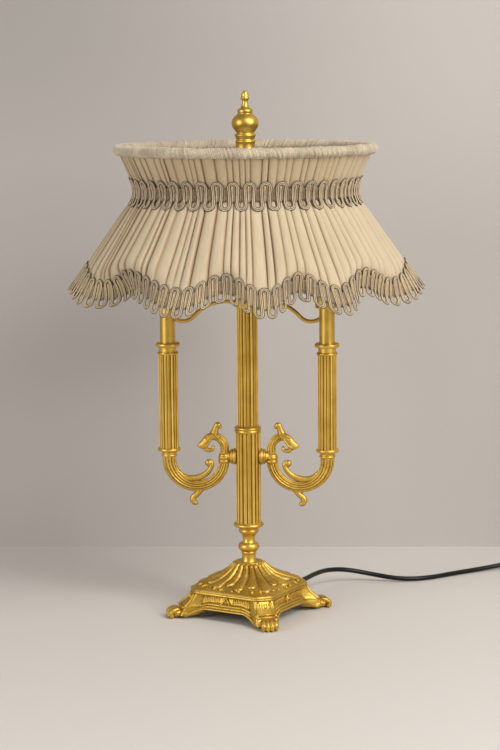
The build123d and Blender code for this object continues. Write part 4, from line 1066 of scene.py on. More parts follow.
def arm_shell():
    """The right-hand arm: hook, rings, boss, neck with its beast head, crest, tendril and tail."""
    arm = Casting()
    path = hook_path()
    arm.tube(path, stepped(HOOK_RADII, len(path)), 84, 1.0, ARM_REEDS, REED_DEPTH)
    for height in (SCROLL_HEIGHT - 2.1, SCROLL_HEIGHT + 2.2):
        arm.turned(JOINT_RING, (INNER_X, 0, height), UP)
    arm.turned(JOINT_BAND, (INNER_X, 0, SCROLL_HEIGHT), UP)
    arm.turned(BOSS_PROFILE, (0, 0, BOSS_HEIGHT), (1, 0, 0))
    arm.bar(in_plane(NECK), [5.5, 5.2, 5.0, 4.9, 4.7, 4.7], 6, 60, 0.92, NECK_REEDS, NECK_DEPTH)
    beast_head(arm)
    arm.bar(in_plane(CREST), [4.8, 3.8, 3.3, 3.2, 2.6], 5, 14, 0.9)
    arm.ball((34.2, 0, 216.2), (3.8, 3.2, 3.5))
    arm.ball((31.6, 0, 214.2), (2.1, 2.0, 2.1), 10)
    arm.bar(in_plane(TENDRIL), [3.0, 3.6, 3.8, 3.7, 3.3, 2.9, 2.7, 2.3], 6, 16, 0.95)
    arm.ball((45.2, 0, 172.6), (4.2, 3.4, 4.2))
    arm.bar(in_plane(TAIL), [3.8, 3.3, 3.5, 3.8, 3.3, 2.3], 5, 14, 0.95)
    arm.ball((60.4, 0, 126.6), (2.9, 2.6, 2.6), 12)
    arm.bar(in_plane(TAIL_LEAF), [1.2, 3.0, 1.2], 5, 12)
    return arm


class LAMP_OT_arms(Operator):
    """Make the two scroll arms"""

    bl_idname = "lamp.arms"
    bl_label = "Scroll Arms"

    def execute(self, context):
        cast = brass("arm_brass", cast=True)
        right = arm_shell()
        for word, shell in (("left", right.mirrored()), ("right", right)):
            mesh = shell.mesh(f"scroll_arm_{word}")
            mark_hollows(mesh)
            piece(f"scroll_arm_{word}", mesh, cast, replaces=[f"arm_{word}"])
        return {"FINISHED"}


# Column, with the finial's stations as (radius, height)
FLUTES = 16
FINIAL_BORE = 24.0
FINIAL_GAP = 0.3
FINIAL_SIDES = 64
FINIAL_PROFILE = (
    (12.0, 0), (11.4, 5), (11.0, 13), (10.4, 18), (10.8, 19.5), (11.3, 20.4), (11.3, 21.4),
    (10.8, 22.2), (10.0, 22.8), (9.8, 24.0), (10.6, 24.8), (10.9, 25.6), (10.6, 26.4), (11.6, 26.9),
    (12.1, 28.0), (11.7, 29.2), (10.6, 29.9), (9.7, 30.5), (10.2, 31.8), (12.2, 34.4), (14.2, 37.4),
    (15.0, 40.2), (15.1, 42.8), (14.4, 46.2), (12.6, 49.0), (10.2, 51.2), (8.4, 52.6), (8.0, 53.2),
    (8.3, 54.0), (8.6, 55.6), (8.4, 57.2), (7.6, 58.2), (6.0, 59.0), (4.7, 60.2), (3.9, 62.4),
    (3.5, 64.8), (3.3, 67.6), (3.7, 68.8), (4.6, 69.5), (5.0, 70.6), (4.7, 71.6), (4.2, 72.0),
    (4.2, 73.6), (3.8, 76.0), (2.9, 77.9), (1.7, 79.0), (0.4, 79.4),
)


def finial_shell():
    """The onion-shaped finial with its rings, bored for the rod."""
    low, high = span("finial")
    scale = (high.z - low.z) / FINIAL_PROFILE[-1][1]
    hole = ROD_RADIUS + FINIAL_GAP
    bore = [(FINIAL_BORE, hole), (0.0, hole)]
    outline = [(height * scale, reach) for reach, height in FINIAL_PROFILE]
    shell = Casting()
    shell.turned(bore + outline, (0, 0, low.z), UP, FINIAL_SIDES)
    return shell.mesh("finial_turning")


class LAMP_OT_column(Operator):
    """Finish the column, the candles, the braces and the finial"""

    bl_idname = "lamp.column"
    bl_label = "Column and Candles"

    def execute(self, context):
        polished = brass("turned_brass")
        dress(["baluster", "column_dish", "mid_collar", "column_cap", "rod_cover", "brace_band"], polished)
        piece("finial_turning", finial_shell(), polished, "finial", ["finial"])
        dress(["lower_column", "upper_column"], brass("fluted_brass", flutes=(FLUTES, 0.0)))
        for word, hand in SIDES.items():
            fluted = brass(f"candle_brass_{word}", flutes=(FLUTES, hand * CANDLE_X))
            dress([f"candle_sleeve_{word}"], fluted)
            for name in ("candle_collar", "candle_cup", "candle_tube", "holder_shell", "brace"):
                dress([f"{name}_{word}"], polished)
        return {"FINISHED"}


# Fittings: finish, colour, roughness, metal, scale of the grain, and the pieces that have it
FITTINGS = (
    ("zinc_plate", (0.40, 0.39, 0.37), 0.3, 1.0, 400.0,
     ("base_washer", "base_nut", "centre_rod", "candle_nipples")),
    ("rough_iron", (0.035, 0.032, 0.03), 0.6, 0.6, 250.0, ("ballast",)),
    ("contact_brass", (0.62, 0.40, 0.14), 0.3, 1.0, 400.0, ("holder_contacts",)),
    ("wire_cover", (0.06, 0.03, 0.015), 0.45, 0.0, 400.0, ("arm_wires",)),
    ("white_moulding", (0.70, 0.69, 0.65), 0.4, 0.0, 400.0, ("terminal_block",)),
    ("cream_enamel", (0.34, 0.27, 0.175), 0.5, 0.0, 400.0, ("shade_rings", "shade_ribs", "shade_spider")),
    ("nickel_pins", (0.66, 0.65, 0.62), 0.2, 1.0, 400.0, ("plug_pins",)),
    ("black_moulding", (0.012, 0.012, 0.012), 0.32, 0.0, 900.0,
     ("strain_relief", "plug_body", "switch_base", "switch_cover", "coil_tie")),
    ("rocker_moulding", (0.022, 0.021, 0.02), 0.25, 0.0, 700.0, ("switch_rocker",)),
    ("bulb_nickel", (0.55, 0.54, 0.51), 0.25, 1.0, 400.0, ("bulb_cap_left", "bulb_cap_right")),
    ("holder_ceramic", (0.72, 0.69, 0.62), 0.35, 0.0, 400.0,
     ("holder_insulator_left", "holder_insulator_right")),
)


class LAMP_OT_fittings(Operator):
    """Finish the bulbs, holders, hidden fixings, shade frame, switch and plug"""

    bl_idname = "lamp.fittings"
    bl_label = "Fittings"

    def execute(self, context):
        for name, colour, rough, metal, scale, nodes in FITTINGS:
            dress(nodes, plain(name, colour, rough, metal, scale))
        frosted = plain("frosted_glass", (0.88, 0.86, 0.81), 0.35, scale=120.0, Transmission_Weight=0.15)
        dress(["bulb_glass_left", "bulb_glass_right"], frosted)
        return {"FINISHED"}


# Shade
CLOTH_THICK = 0.6
CLOTH_LIFT = 0.6
# Least painted shade on the inside of the cloth
INSIDE_PAINTED_SHADE = 0.6
PLEAT_SEED = 11
# Unevenness of the pleats: widths, ridges and grooves, and how dark the painted shade in a groove gets
PLEAT_SPREAD = (-0.5, 0.55)
RIDGE_SPREAD = (0.5, 1.5)
GROOVE_LEAST = 0.3
GROOVE_RANGE = 2.4
GROOVE_SHADE_LEAST = 0.55
GROOVE_SHADE_DIVISOR = 2.2
# Across one pleat: share of its width, height of the cloth and strength of the painted shade in its crease
PLEAT_PROFILE = ((0.0, -0.6, 1.0), (0.05, -0.15, 0.85), (0.15, 0.25, 0.35), (0.36, 0.62, 0.1),
                 (0.62, 0.95, 0.0), (0.82, 1.05, 0.05), (0.91, 0.8, 0.4), (0.96, 0.2, 0.9))
COLLAR_FOOT = 0.4
COLLAR_PLEAT = 1.7
# Strength of the painted shade in the collar's creases
COLLAR_CREASE_SHADE = 0.9
COLLAR_ROWS = 10
# Pleats are pressed flat near the waist, and the skirt's again near the hem
COLLAR_PRESSED = 0.3
COLLAR_OPENS = (0.0, 0.3)
COLLAR_FADE = 0.6
SKIRT_PRESSED = 0.25
SKIRT_OPENS = (0.06, 0.24)
SKIRT_CLOSES = (0.7, 0.84)
SKIRT_SWAY = 0.006
SWAY_WAVES = 9
SWAY_TWIST = 4
RIDGE_RISE = 2.5
RIDGE_FADE = 0.3
GROOVE_DEPTH = 2.1
GROOVE_GROWTH = 0.9
# The painted crease shade fades down the skirt
CREASE_SHADE_FADE = 0.3
SKIRT_ROWS = 34
# Metres of the cloth's UV map, round the shade and down it
UV_GIRTH = 2 * pi * 0.15
UV_DROP = 0.13
WAIST_SOFTNESS = 6.0
# The lobes grow over this part of the drop, and fade out at the two sides
LOBE_SPAN = (0.58, 0.96)
LOBE_SHARE = 0.85
SIDE_POWER = 8
# Degrees from the front where the hem turns, with the half lobes counted up to there
HEM_STATIONS = ((-90, -5), (-64, -4), (-48, -3), (-22, -2), (6, 0), (32, 2), (47, 3), (66, 4), (90, 5))
# Degrees from the front and depth of the two deep folds at the sides
HEM_FOLDS = ((-58, 30.0), (62, 24.0))
FOLD_WIDTH = 9.0
HEM_INSET = 1.5
HEM_LIFT = 3.5

# Yarn of the rim
YARN_RISE = 1.2
YARN_SWELL = 0.4
YARN_SINK = 0.3
YARN_HALF_DEPTH = 1.35
YARN_HALF_WIDTH = 1.6
YARN_STEPS = 11
YARN_SIDES = 5
YARN_SLANT = 0.45
YARN_JITTER = 0.09
YARN_SEED = 7

# Gimp
RIBBON_HALF = 2.2
LOOP_SHARE = 0.285
# Strands of the ribbon: distance from its centre line, radius, sides, tone and height
GIMP_STRANDS = ((-1.6, 0.62, 4, 0.0, 1.1), (-0.8, 0.46, 5, 1.0, 1.45), (0, 0.5, 4, 0.1, 1.2),
                (0.8, 0.46, 5, 1.0, 1.45), (1.6, 0.62, 4, 0.0, 1.1))
# Woven band: its ends are shares of the gimp's height, longer inside a loop
WEAVE_THREADS = 8
WEAVE_STEPS = 5
WEAVE_LOW = -0.15
WEAVE_HIGH = 0.33
WEAVE_SHORT = 0.24
RAGGED_LOW = 0.04
RAGGED_HIGH = 0.06
WEAVE_LIFT = 0.3
WEAVE_FULLNESS = 0.62
WEAVE_TONE = 0.3
WEAVE_TONES = 0.5
STITCH_LEVELS = (-0.05, 0.05)
STITCH_LIFT = 1.0
STITCH_RADIUS = 0.4
WAIST_GIMP_LIFT = 2.6
WAIST_GIMP_OUT = 2
WAIST_GIMP_EXTRA = 3.6
WAIST_GIMP_FLARE_UP = 0.45
WAIST_GIMP_FLARE_DOWN = 0.55
HEM_GIMP_LIFT = 2.0
HEM_GIMP_TALL = 36.0
HEM_GIMP_UPRIGHT = 0.88
HEM_STEPS = 2000


def around(turn, reach, height):
    """A point at a distance from the lamp's axis."""
    return Vector((reach * cos(turn), reach * sin(turn), height))


def from_front(turn):
    """Degrees from the front, counted to the right, from -90 to 270."""
    return (degrees(turn - CAMERA_TURN) + 180) % 360 - 90


def hem_swing(turn, settings):
    """Lobes of the hem in one direction, 1 where it hangs low and -1 where it draws in and up."""
    half_lobes = np.interp(from_front(turn), settings.hem_places, settings.hem_halves)
    return cos(pi * float(half_lobes))


def waist_flare(rise):
    """Growth of the radius with the distance from the waist, softened where the cloth is drawn in."""
    return hypot(rise, WAIST_SOFTNESS) - WAIST_SOFTNESS


def skirt_point(turn, share, settings, lift=0.0, edge=None):
    """A point of the skirt from the waist at 0 to its edge at 1, lifted off the cloth by a distance."""
    swing = hem_swing(turn, settings)
    raised = settings.scallop * (1 - swing) / 2
    low = raised + (HEM_HEIGHT + settings.hang if edge is None else edge)
    height = settings.waist_height + (low - settings.waist_height) * share
    drop = settings.waist_height - height
    full = settings.waist_height - HEM_HEIGHT - raised
    flare = waist_flare(drop) / waist_flare(full)
    depth = LOBE_SHARE * settings.wave_depth * (1 - cos(turn - CAMERA_TURN) ** SIDE_POWER)
    aim = from_front(turn)
    fold = sum(deep * exp(-((aim - place) / FOLD_WIDTH) ** 2) for place, deep in HEM_FOLDS)
    reach = settings.waist_radius + (HEM_REACH - HEM_INSET - settings.waist_radius) * flare
    reach += lift - (depth * (1 - swing) + fold) * smooth_step(drop / full, *LOBE_SPAN)
    return around(turn, reach, height)


def pleat_columns(settings, seed):
    """Directions of the columns of a pleated cloth, with the rise and the painted crease shade of each."""
    dice = random.Random(seed)
    widths = [1 + dice.uniform(*PLEAT_SPREAD) for _ in range(settings.pleats)]
    total = sum(widths)
    columns = []
    start = 0.0
    for width in widths:
        depth = dice.uniform(*RIDGE_SPREAD)
        groove = GROOVE_LEAST + GROOVE_RANGE * dice.random() ** 2
        groove_shade = min(GROOVE_SHADE_LEAST + groove / GROOVE_SHADE_DIVISOR, 1.0)
        for share, rise, crease_shade in PLEAT_PROFILE:
            turn = tau * (start + share * width) / total
            columns.append((turn, rise * (groove if rise < 0 else depth), crease_shade * groove_shade))
        start += width
    return columns


def cloth_mesh(name, columns, rows, place):
    """An open ring of cloth with a UV map in metres and the painted shade of its creases stored, with more
    painted shade inside.
    """
    count = len(columns)
    points = []
    crease_shades = []
    for level in range(rows + 1):
        for turn, rise, crease_shade in columns:
            point, strength = place(turn, rise, level / rows)
            points.append(point * MM)
            crease_shades.append(crease_shade * strength)
    faces = []
    for level in range(rows):
        for step in range(count):
            after = (step + 1) % count
            here = level * count
            faces.append((here + count + step, here + count + after, here + after, here + step))
    mesh = bpy.data.meshes.new(name)
    mesh.from_pydata(points, [], faces)
    mesh.attributes.new("fold", "FLOAT", "POINT").data.foreach_set("value", crease_shades)
    layer = mesh.uv_layers.new(name="weave")
    for face in mesh.polygons:
        for corner in face.loop_indices:
            vertex = mesh.loops[corner].vertex_index
            level, step = divmod(vertex, count)
            turn = columns[step][0]
            if face.index % count == count - 1 and step == 0:
                turn += tau
            layer.data[corner].uv = (turn / tau * UV_GIRTH, level / rows * UV_DROP)
    mesh = with_modifier(name, mesh, "SOLIDIFY", thickness=CLOTH_THICK * MM, offset=-1.0)
    # The inside of the cloth gets at least this much painted shade
    inside = mesh.attributes["fold"].data
    for index in range(len(points), len(inside)):
        inside[index].value = max(inside[index].value, INSIDE_PAINTED_SHADE)
    return mesh


class LAMP_OT_shade_cloth(Operator):
    """Make the pleated collar and skirt of the shade"""

    bl_idname = "lamp.shade_cloth"
    bl_label = "Shade Cloth"

    def execute(self, context):
        settings = ShadePlan(context.scene.lamp_shade)
        columns = pleat_columns(settings, PLEAT_SEED)
        collar_height = RIM_HEIGHT - settings.waist_height

        def collar_place(turn, rise, share):
            up = COLLAR_FOOT + (collar_height - COLLAR_FOOT) * share
            grown = waist_flare(up) / waist_flare(collar_height)
            opened = COLLAR_PRESSED + (1 - COLLAR_PRESSED) * smooth_step(share, *COLLAR_OPENS)
            pleat = COLLAR_PLEAT * rise * opened * (1 - COLLAR_FADE * share)
            reach = settings.waist_radius + (RIM_RADIUS - settings.waist_radius) * grown
            point = around(turn, reach + pleat + CLOTH_LIFT, settings.waist_height + up)
            return point, COLLAR_CREASE_SHADE

        def skirt_place(turn, rise, share):
            sway = SKIRT_SWAY * sin(SWAY_WAVES * turn + SWAY_TWIST * share) * share
            free = smooth_step(share, *SKIRT_OPENS) * (1 - smooth_step(share, *SKIRT_CLOSES))
            opened = SKIRT_PRESSED + (1 - SKIRT_PRESSED) * free
            swell = GROOVE_DEPTH * (1 + GROOVE_GROWTH * share)
            if rise > 0:
                swell = RIDGE_RISE * (1 - RIDGE_FADE * share)
            point = skirt_point(turn + sway, share, settings, CLOTH_LIFT + opened * swell * rise)
            return point, 1.0 - CREASE_SHADE_FADE * share

        collar = cloth_mesh("shade_collar_cloth", list(reversed(columns)), COLLAR_ROWS, collar_place)
        skirt = cloth_mesh("shade_skirt_cloth", columns, SKIRT_ROWS, skirt_place)
        collar_thing = piece("shade_collar_cloth", collar, cotton("collar_cotton", 1.0), "shade",
                             ["shade_collar"])
        skirt_thing = piece("shade_skirt_cloth", skirt, cotton("skirt_cotton", 0.0), "shade",
                            ["shade_skirt"])
        return {"FINISHED"}


def yarn_unit(thick):
    """A loop of yarn round the rim, in its own XY plane."""
    loop = Casting()
    rows = []
    for step in range(YARN_STEPS):
        turn = tau * step / YARN_STEPS
        row = []
        for side in range(YARN_SIDES):
            aim = tau * side / YARN_SIDES
            reach = thick - YARN_SINK + YARN_HALF_DEPTH * cos(aim)
            row.append(around(turn, reach, YARN_HALF_WIDTH * sin(aim)))
        rows.append(row)
    loop.rings(rows, capped=False, looped=True)
    return loop.mesh("yarn_loop")


class LAMP_OT_rim(Operator):
    """Wind the yarn round the top rim"""

    bl_idname = "lamp.rim"
    bl_label = "Yarn Rim"

    def execute(self, context):
        settings = ShadePlan(context.scene.lamp_shade)
        wool = yarn_wool("rim_yarn")
        guides = []
        for step in range(settings.yarn_turns):
            turn = tau * step / settings.yarn_turns
            place = around(turn, RIM_RADIUS, RIM_HEIGHT + YARN_RISE)
            facing = Vector((-sin(turn), cos(turn), YARN_SLANT)).normalized()
            guides.append((place, facing, around(turn, 1, 0)))
        loop = yarn_unit(RIM_THICK + YARN_SWELL)
        mesh = repeated("rim_yarn", guides, loop, wool, YARN_JITTER, YARN_SEED)
        piece("rim_yarn", mesh, wool, "shade", ["rim_wrap"])
        return {"FINISHED"}


def meander(pitch, height):
    """Centre line of one period of the ribbon: upright legs joined by round loops."""
    loop = LOOP_SHARE * pitch
    rise = height / 2 - RIBBON_HALF - loop
    path = []
    bends = ((-pitch / 2, -1, pi / 2, 0, 4), (0, 1, pi, 0, 8), (pitch / 2, -1, pi, pi / 2, 4))
    for middle, hand, first, last, count in bends:
        if path:
            there = Vector((middle + loop * cos(first), hand * rise, 0))
            path.extend(path[-1].lerp(there, share) for share in (1 / 3, 2 / 3))
        for step in range(count + 1):
            turn = first + (last - first) * step / count
            path.append(Vector((middle + loop * cos(turn), hand * (rise + loop * sin(turn)), 0)))
    return path


def gimp_unit(pitch, height):
    """One period of gimp: a meandering ribbon of five strands over a band of woven threads."""
    unit = Casting()
    marks = []
    ribbon = meander(pitch, height)

    def thread(path, radius, sides, mark):
        before = len(unit.points)
        flat_tube(unit, path, radius, sides)
        marks.extend([mark] * (len(unit.points) - before))

    for offset, radius, sides, mark, lift in GIMP_STRANDS:
        path = []
        for index, point in enumerate(ribbon):
            along = Vector((1, 0, 0))
            if 0 < index < len(ribbon) - 1:
                along = (ribbon[index + 1] - ribbon[index - 1]).normalized()
            path.append(point + offset * Vector((-along.y, along.x, 0)) + lift * UP)
        thread(path, radius, sides, mark)
    for number in range(WEAVE_THREADS):
        across = pitch * ((number + 0.5) / WEAVE_THREADS - 0.5)
        low = WEAVE_LOW - RAGGED_LOW * (number * 3 % 5) / 4
        high = WEAVE_SHORT
        if abs(across) < pitch / 4:
            high = WEAVE_HIGH + RAGGED_HIGH * (number * 2 % 5) / 4
        path = []
        for step in range(WEAVE_STEPS + 1):
            up = low + (high - low) * step / WEAVE_STEPS
            path.append(Vector((across, up * height, WEAVE_LIFT * (1 + (step + number) % 2))))
        tone = WEAVE_TONE + WEAVE_TONES * (number * 5 % 8) / 7
        thread(path, WEAVE_FULLNESS * pitch / WEAVE_THREADS, 4, tone)
    for level in STITCH_LEVELS:
        path = [Vector((pitch * (share - 0.5), level * height, STITCH_LIFT)) for share in (0, 0.5, 1)]
        thread(path, STITCH_RADIUS, 4, WEAVE_TONE)
    mesh = unit.mesh("gimp_loop")
    mesh.attributes.new("strand", "FLOAT", "POINT").data.foreach_set("value", marks)
    return mesh


def flat_tube(unit, path, radius, sides):
    """A thread along points that lie near the unit's own XY plane."""
    rows = []
    for index, point in enumerate(path):
        along = (path[min(index + 1, len(path) - 1)] - path[max(index - 1, 0)]).normalized()
        aside = Vector((-along.y, along.x, 0)).normalized()
        up = along.cross(aside)
        row = []
        for step in range(sides):
            turn = tau * step / sides
            row.append(point + radius * (cos(turn) * aside + sin(turn) * up))
        rows.append(row)
    unit.rings(rows)


def gimp_band(name, loops, length, tall, thread, place):
    """Gimp units set one after another along a straight line, then bent round the shade."""
    pitch = length[-1] / loops
    along = Vector((1, 0, 0))
    guides = [(pitch * (step + 0.5) * along, UP, along) for step in range(loops)]
    mesh = repeated(name, guides, gimp_unit(pitch, tall), thread)
    spots = np.array([vertex.co / MM for vertex in mesh.vertices])
    turns = np.interp(spots[:, 0], length, np.linspace(0, tau, len(length)))
    for vertex, turn, (_, rise, lift) in zip(mesh.vertices, turns, spots):
        vertex.co = place(float(turn), float(rise), float(lift)) * MM
    piece(name, mesh, thread, "shade", [name.replace("gimp", "trim")])


class LAMP_OT_gimp(Operator):
    """Make the two gimp trims of the shade"""

    bl_idname = "lamp.gimp"
    bl_label = "Gimp Trims"

    def execute(self, context):
        settings = ShadePlan(context.scene.lamp_shade)
        waist_low, waist_high = span("waist_trim")
        reach = settings.waist_radius + WAIST_GIMP_LIFT

        def waist_place(turn, rise, lift):
            flare = WAIST_GIMP_FLARE_UP if rise > 0 else WAIST_GIMP_FLARE_DOWN
            out = reach + lift + flare * waist_flare(rise)
            return around(turn, out, settings.waist_height + rise)

        tall = waist_high.z - waist_low.z + WAIST_GIMP_EXTRA
        length = [0, tau * (reach + WAIST_GIMP_OUT)]
        thread = gimp_thread("waist_thread", 0.0)
        gimp_band("waist_gimp", settings.waist_loops, length, tall, thread, waist_place)

        middle = HEM_HEIGHT + HEM_LIFT + HEM_GIMP_UPRIGHT * HEM_GIMP_TALL / 2

        def hem_place(turn, rise, lift):
            edge = middle + HEM_GIMP_UPRIGHT * rise
            return skirt_point(turn, 1.0, settings, HEM_GIMP_LIFT + lift, edge)

        length = [0.0]
        line = [hem_place(tau * step / HEM_STEPS, 0, 0) for step in range(HEM_STEPS + 1)]
        for first, second in zip(line, line[1:]):
            length.append(length[-1] + (second - first).xy.length)
        thread = gimp_thread("hem_thread", 1.0)
        gimp_band("hem_gimp", settings.hem_loops, length, HEM_GIMP_TALL, thread, hem_place)
        return {"FINISHED"}


# Flex: points of its route in metres
CORD_EXIT = (0.04843, 0.06127, 0.020)
LEAD_POINTS = (
    CORD_EXIT, (0.05858, 0.08302, 0.020), (0.067, 0.105, 0.0206), (0.080, 0.132, 0.0196),
    (0.102, 0.151, 0.016), (0.132, 0.158, 0.009), (0.165, 0.155, 0.004), (0.198, 0.166, 0.0028),
    (0.231, 0.195, 0.0028), (0.268, 0.221, 0.0034), (0.300, 0.236, 0.007), (0.320, 0.240, 0.009),
    (0.340, 0.240, 0.009),
)
TAIL_POINTS = (
    (0.402, 0.240, 0.009), (0.424, 0.240, 0.009), (0.437, 0.227, 0.0065), (0.435, 0.206, 0.0044),
    (0.414, 0.188, 0.0038), (0.392, 0.166, 0.0038), (0.385, 0.142, 0.0038),
)
COIL_CENTRE = (0.425, 0.092, 0.0038)
COIL_STEPS = 8
END_POINTS = (
    (0.465, 0.1086, 0.0101), (0.4644, 0.1196, 0.0083), (0.465, 0.1296, 0.0069), (0.465, 0.1396, 0.0069),
)


def coil_points(settings):
    """Half turns winding in on the table, one that climbs, then out again on top."""
    points = []
    place = COIL_CENTRE[0] - settings.coil_radius
    height = COIL_CENTRE[2]
    side = -1
    outset = 1 / cos(pi / (2 * COIL_STEPS))
    for turn in range(2 * settings.half_turns + 1):
        depth = settings.half_turns - abs(turn - settings.half_turns)
        radius = settings.coil_radius - settings.coil_step / 2 * depth
        climb = settings.coil_step if turn == settings.half_turns else 0.0
        middle = place - side * radius
        for step in range(COIL_STEPS):
            share = (step + 0.5) / COIL_STEPS
            points.append((middle + side * outset * radius * cos(pi * share),
                           COIL_CENTRE[1] + side * outset * radius * sin(pi * share),
                           height + climb * share))
        place = place - side * 2 * radius
        height += climb
        side = -side
    return points


class LAMP_OT_cord(Operator):
    """Lay the flex from the base through the switch to the coil and the plug"""

    bl_idname = "lamp.cord"
    bl_label = "Flex"

    def execute(self, context):
        settings = context.scene.lamp_cord
        points = [*LEAD_POINTS, *TAIL_POINTS, *coil_points(settings), *END_POINTS]
        curve = bpy.data.curves.new("flex", "CURVE")
        curve.dimensions = "3D"
        curve.bevel_depth = settings.diameter / 2
        curve.bevel_resolution = 4
        curve.use_fill_caps = True
        curve.resolution_u = 6
        spline = curve.splines.new("NURBS")
        spline.points.add(len(points) - 1)
        for knot, point in zip(spline.points, points):
            knot.co = (*point, 1.0)
        spline.order_u = 3
        spline.use_endpoint_u = True
        flex = bpy.data.objects.new("flex", curve)
        context.scene.collection.objects.link(flex)
        cover = plain("flex_cover", (0.0045, 0.004, 0.003), 0.3, scale=700.0, Specular_IOR_Level=0.3)
        curve.materials.append(cover)
        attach(flex, "stand")
        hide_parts("cord_lead", "cord_tail", "cord_coil", "cord_end")
        return {"FINISHED"}


# Stage, in metres
WALL_DEPTH = 0.341
WALL_TURN = radians(3.8)
STAGE_HALF = 4
STAGE_FRONT = 5
STAGE_BACK = 4
WALL_RISE = 4
# Painted shade: the wall is darker high up on its left, over these spans
WALL_PAINTED_SHADE = 0.7
WALL_SHADE_HEIGHTS = (0.15, 0.75)
WALL_SHADE_START = 0.25
WALL_SHADE_WIDTH = 0.6
ROOM_COLOUR = (0.80, 0.78, 0.76, 1)
ROOM_STRENGTH = 0.34
# Soft boxes: name, place, aim, size, power and colour
LIGHTS = (
    ("key", (1.7, -1.3, 1.5), (0, 0, 0.32), (1.1, 1.6), 49, (1.0, 0.97, 0.93)),
    ("fill", (-1.7, -1.5, 0.9), (0, 0, 0.32), (0.9, 1.5), 24, (1.0, 0.98, 0.95)),
    ("top", (0.9, -1.4, 2.0), (0.1, -0.4, 0.0), (1.2, 1.0), 15, (1.0, 0.98, 0.95)),
)


def surface(name, corners, material):
    """A flat sheet of the stage."""
    mesh = bpy.data.meshes.new(name)
    mesh.from_pydata([Vector(corner) for corner in corners], [], [(0, 1, 2, 3)])
    mesh.materials.append(material)
    thing = bpy.data.objects.new(name, mesh)
    bpy.context.scene.collection.objects.link(thing)


def lamp_light(name, place, aim, size, power, colour):
    """A soft box at a place, turned to its aim."""
    light = bpy.data.lights.new(name, "AREA")
    light.shape = "RECTANGLE"
    light.size, light.size_y = size
    light.energy = power
    light.color = colour
    thing = bpy.data.objects.new(name, light)
    bpy.context.scene.collection.objects.link(thing)
    thing.location = place
    thing.rotation_euler = (Vector(aim) - Vector(place)).to_track_quat("-Z", "Y").to_euler()


def wall_paint(colours):
    """Grey-beige paint with painted shade high up on the left, that shows from its front only."""
    paint = Finish("wall_paint", Roughness=0.85)
    place = paint.place()
    x = paint.axis(place, "X")
    z = paint.axis(place, "Z")
    # Painted shade high up on the left of the wall
    painted_shade = paint.between(z, *WALL_SHADE_HEIGHTS) * paint.between(WALL_SHADE_START - x, 0.0, WALL_SHADE_WIDTH)
    paint.set(Base_Color=paint.mix(painted_shade, colours.wall, dimmed(colours.wall, WALL_PAINTED_SHADE)))
    behind = paint.add("ShaderNodeNewGeometry", out="Backfacing")
    clear = paint.add("ShaderNodeBsdfTransparent")
    front_only = {0: behind, 1: Wire(paint, paint.shader.outputs[0]), 2: clear}
    both = paint.add("ShaderNodeMixShader", None, front_only)
    paint.put(paint.tree.nodes["Material Output"].inputs["Surface"], both)
    return paint.material


def photo_camera(scene):
    """The camera at the photograph's viewing angle."""
    camera = bpy.data.cameras.new("photo_camera")
    camera.lens = CAMERA_LENS
    camera.sensor_width = CAMERA_SENSOR
    thing = bpy.data.objects.new("photo_camera", camera)
    scene.collection.objects.link(thing)
    thing.location = around(CAMERA_TURN - pi / 2, CAMERA_DISTANCE, CAMERA_HEIGHT)
    turn = Matrix.Rotation(CAMERA_TURN - CAMERA_YAW, 4, "Z")
    tilt = Matrix.Rotation(pi / 2 - CAMERA_PITCH, 4, "X")
    roll = Matrix.Rotation(CAMERA_ROLL, 4, "Z")
    thing.rotation_euler = (turn @ tilt @ roll).to_euler()
    scene.camera = thing


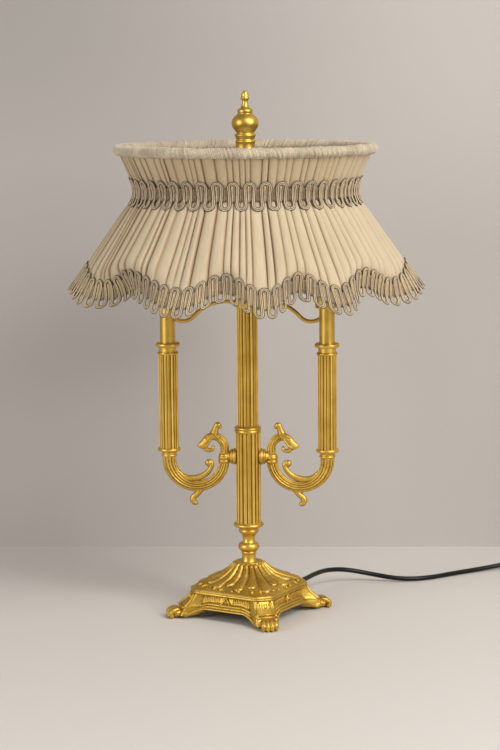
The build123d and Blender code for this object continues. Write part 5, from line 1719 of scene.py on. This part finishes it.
class LAMP_OT_stage(Operator):
    """Set the table, the wall, the lights and the camera"""

    bl_idname = "lamp.stage"
    bl_label = "Stage"

    def execute(self, context):
        scene = context.scene
        colours = scene.lamp_colours
        table = Finish("table_top", Base_Color=colours.floor, Roughness=0.6).material
        along = Vector((cos(WALL_TURN), sin(WALL_TURN), 0)) * STAGE_HALF
        left = Vector((0, WALL_DEPTH, 0)) - along
        right = Vector((0, WALL_DEPTH, 0)) + along
        front = Vector((0, -STAGE_FRONT, 0))
        back = Vector((0, STAGE_BACK, 0))
        rise = Vector((0, 0, WALL_RISE))
        surface("table", [left + front, right + front, right + back, left + back], table)
        surface("wall", [left, right, right + rise, left + rise], wall_paint(colours))
        for light in LIGHTS:
            lamp_light(*light)
        world = bpy.data.worlds.new("room")
        world.use_nodes = True
        glow = world.node_tree.nodes["Background"]
        glow.inputs["Color"].default_value = ROOM_COLOUR
        glow.inputs["Strength"].default_value = ROOM_STRENGTH
        scene.world = world
        photo_camera(scene)
        scene.view_settings.view_transform = "Standard"
        return {"FINISHED"}


OPERATORS = (LAMP_OT_stage, LAMP_OT_cord, LAMP_OT_base, LAMP_OT_arms, LAMP_OT_column, LAMP_OT_fittings,
             LAMP_OT_shade_cloth, LAMP_OT_rim, LAMP_OT_gimp)


class LAMP_PT_panel(Panel):
    """Buttons for the pieces of the lamp"""

    bl_idname = "LAMP_PT_panel"
    bl_label = "Table Lamp"
    bl_space_type = "VIEW_3D"
    bl_region_type = "UI"
    bl_category = "Lamp"

    def draw(self, context):
        for operator in OPERATORS:
            self.layout.operator(operator.bl_idname)
        for group in ("lamp_shade", "lamp_colours", "lamp_cord"):
            settings = getattr(context.scene, group)
            column = self.layout.column()
            for name in settings.bl_rna.properties.keys():
                if name not in ("rna_type", "name"):
                    column.prop(settings, name)


CLASSES = (LampShadeSettings, LampColourSettings, LampCordSettings, *OPERATORS, LAMP_PT_panel)


def register():
    for item in CLASSES:
        bpy.utils.register_class(item)
    bpy.types.Scene.lamp_shade = PointerProperty(type=LampShadeSettings)
    bpy.types.Scene.lamp_colours = PointerProperty(type=LampColourSettings)
    bpy.types.Scene.lamp_cord = PointerProperty(type=LampCordSettings)


def unregister():
    del bpy.types.Scene.lamp_shade
    del bpy.types.Scene.lamp_colours
    del bpy.types.Scene.lamp_cord
    for item in reversed(CLASSES):
        bpy.utils.unregister_class(item)


def main():
    register()
    bpy.ops.lamp.stage()
    bpy.ops.lamp.cord()
    bpy.ops.lamp.base()
    bpy.ops.lamp.arms()
    bpy.ops.lamp.column()
    bpy.ops.lamp.fittings()
    bpy.ops.lamp.shade_cloth()
    bpy.ops.lamp.rim()
    bpy.ops.lamp.gimp()


if __name__ == "__main__":
    main()
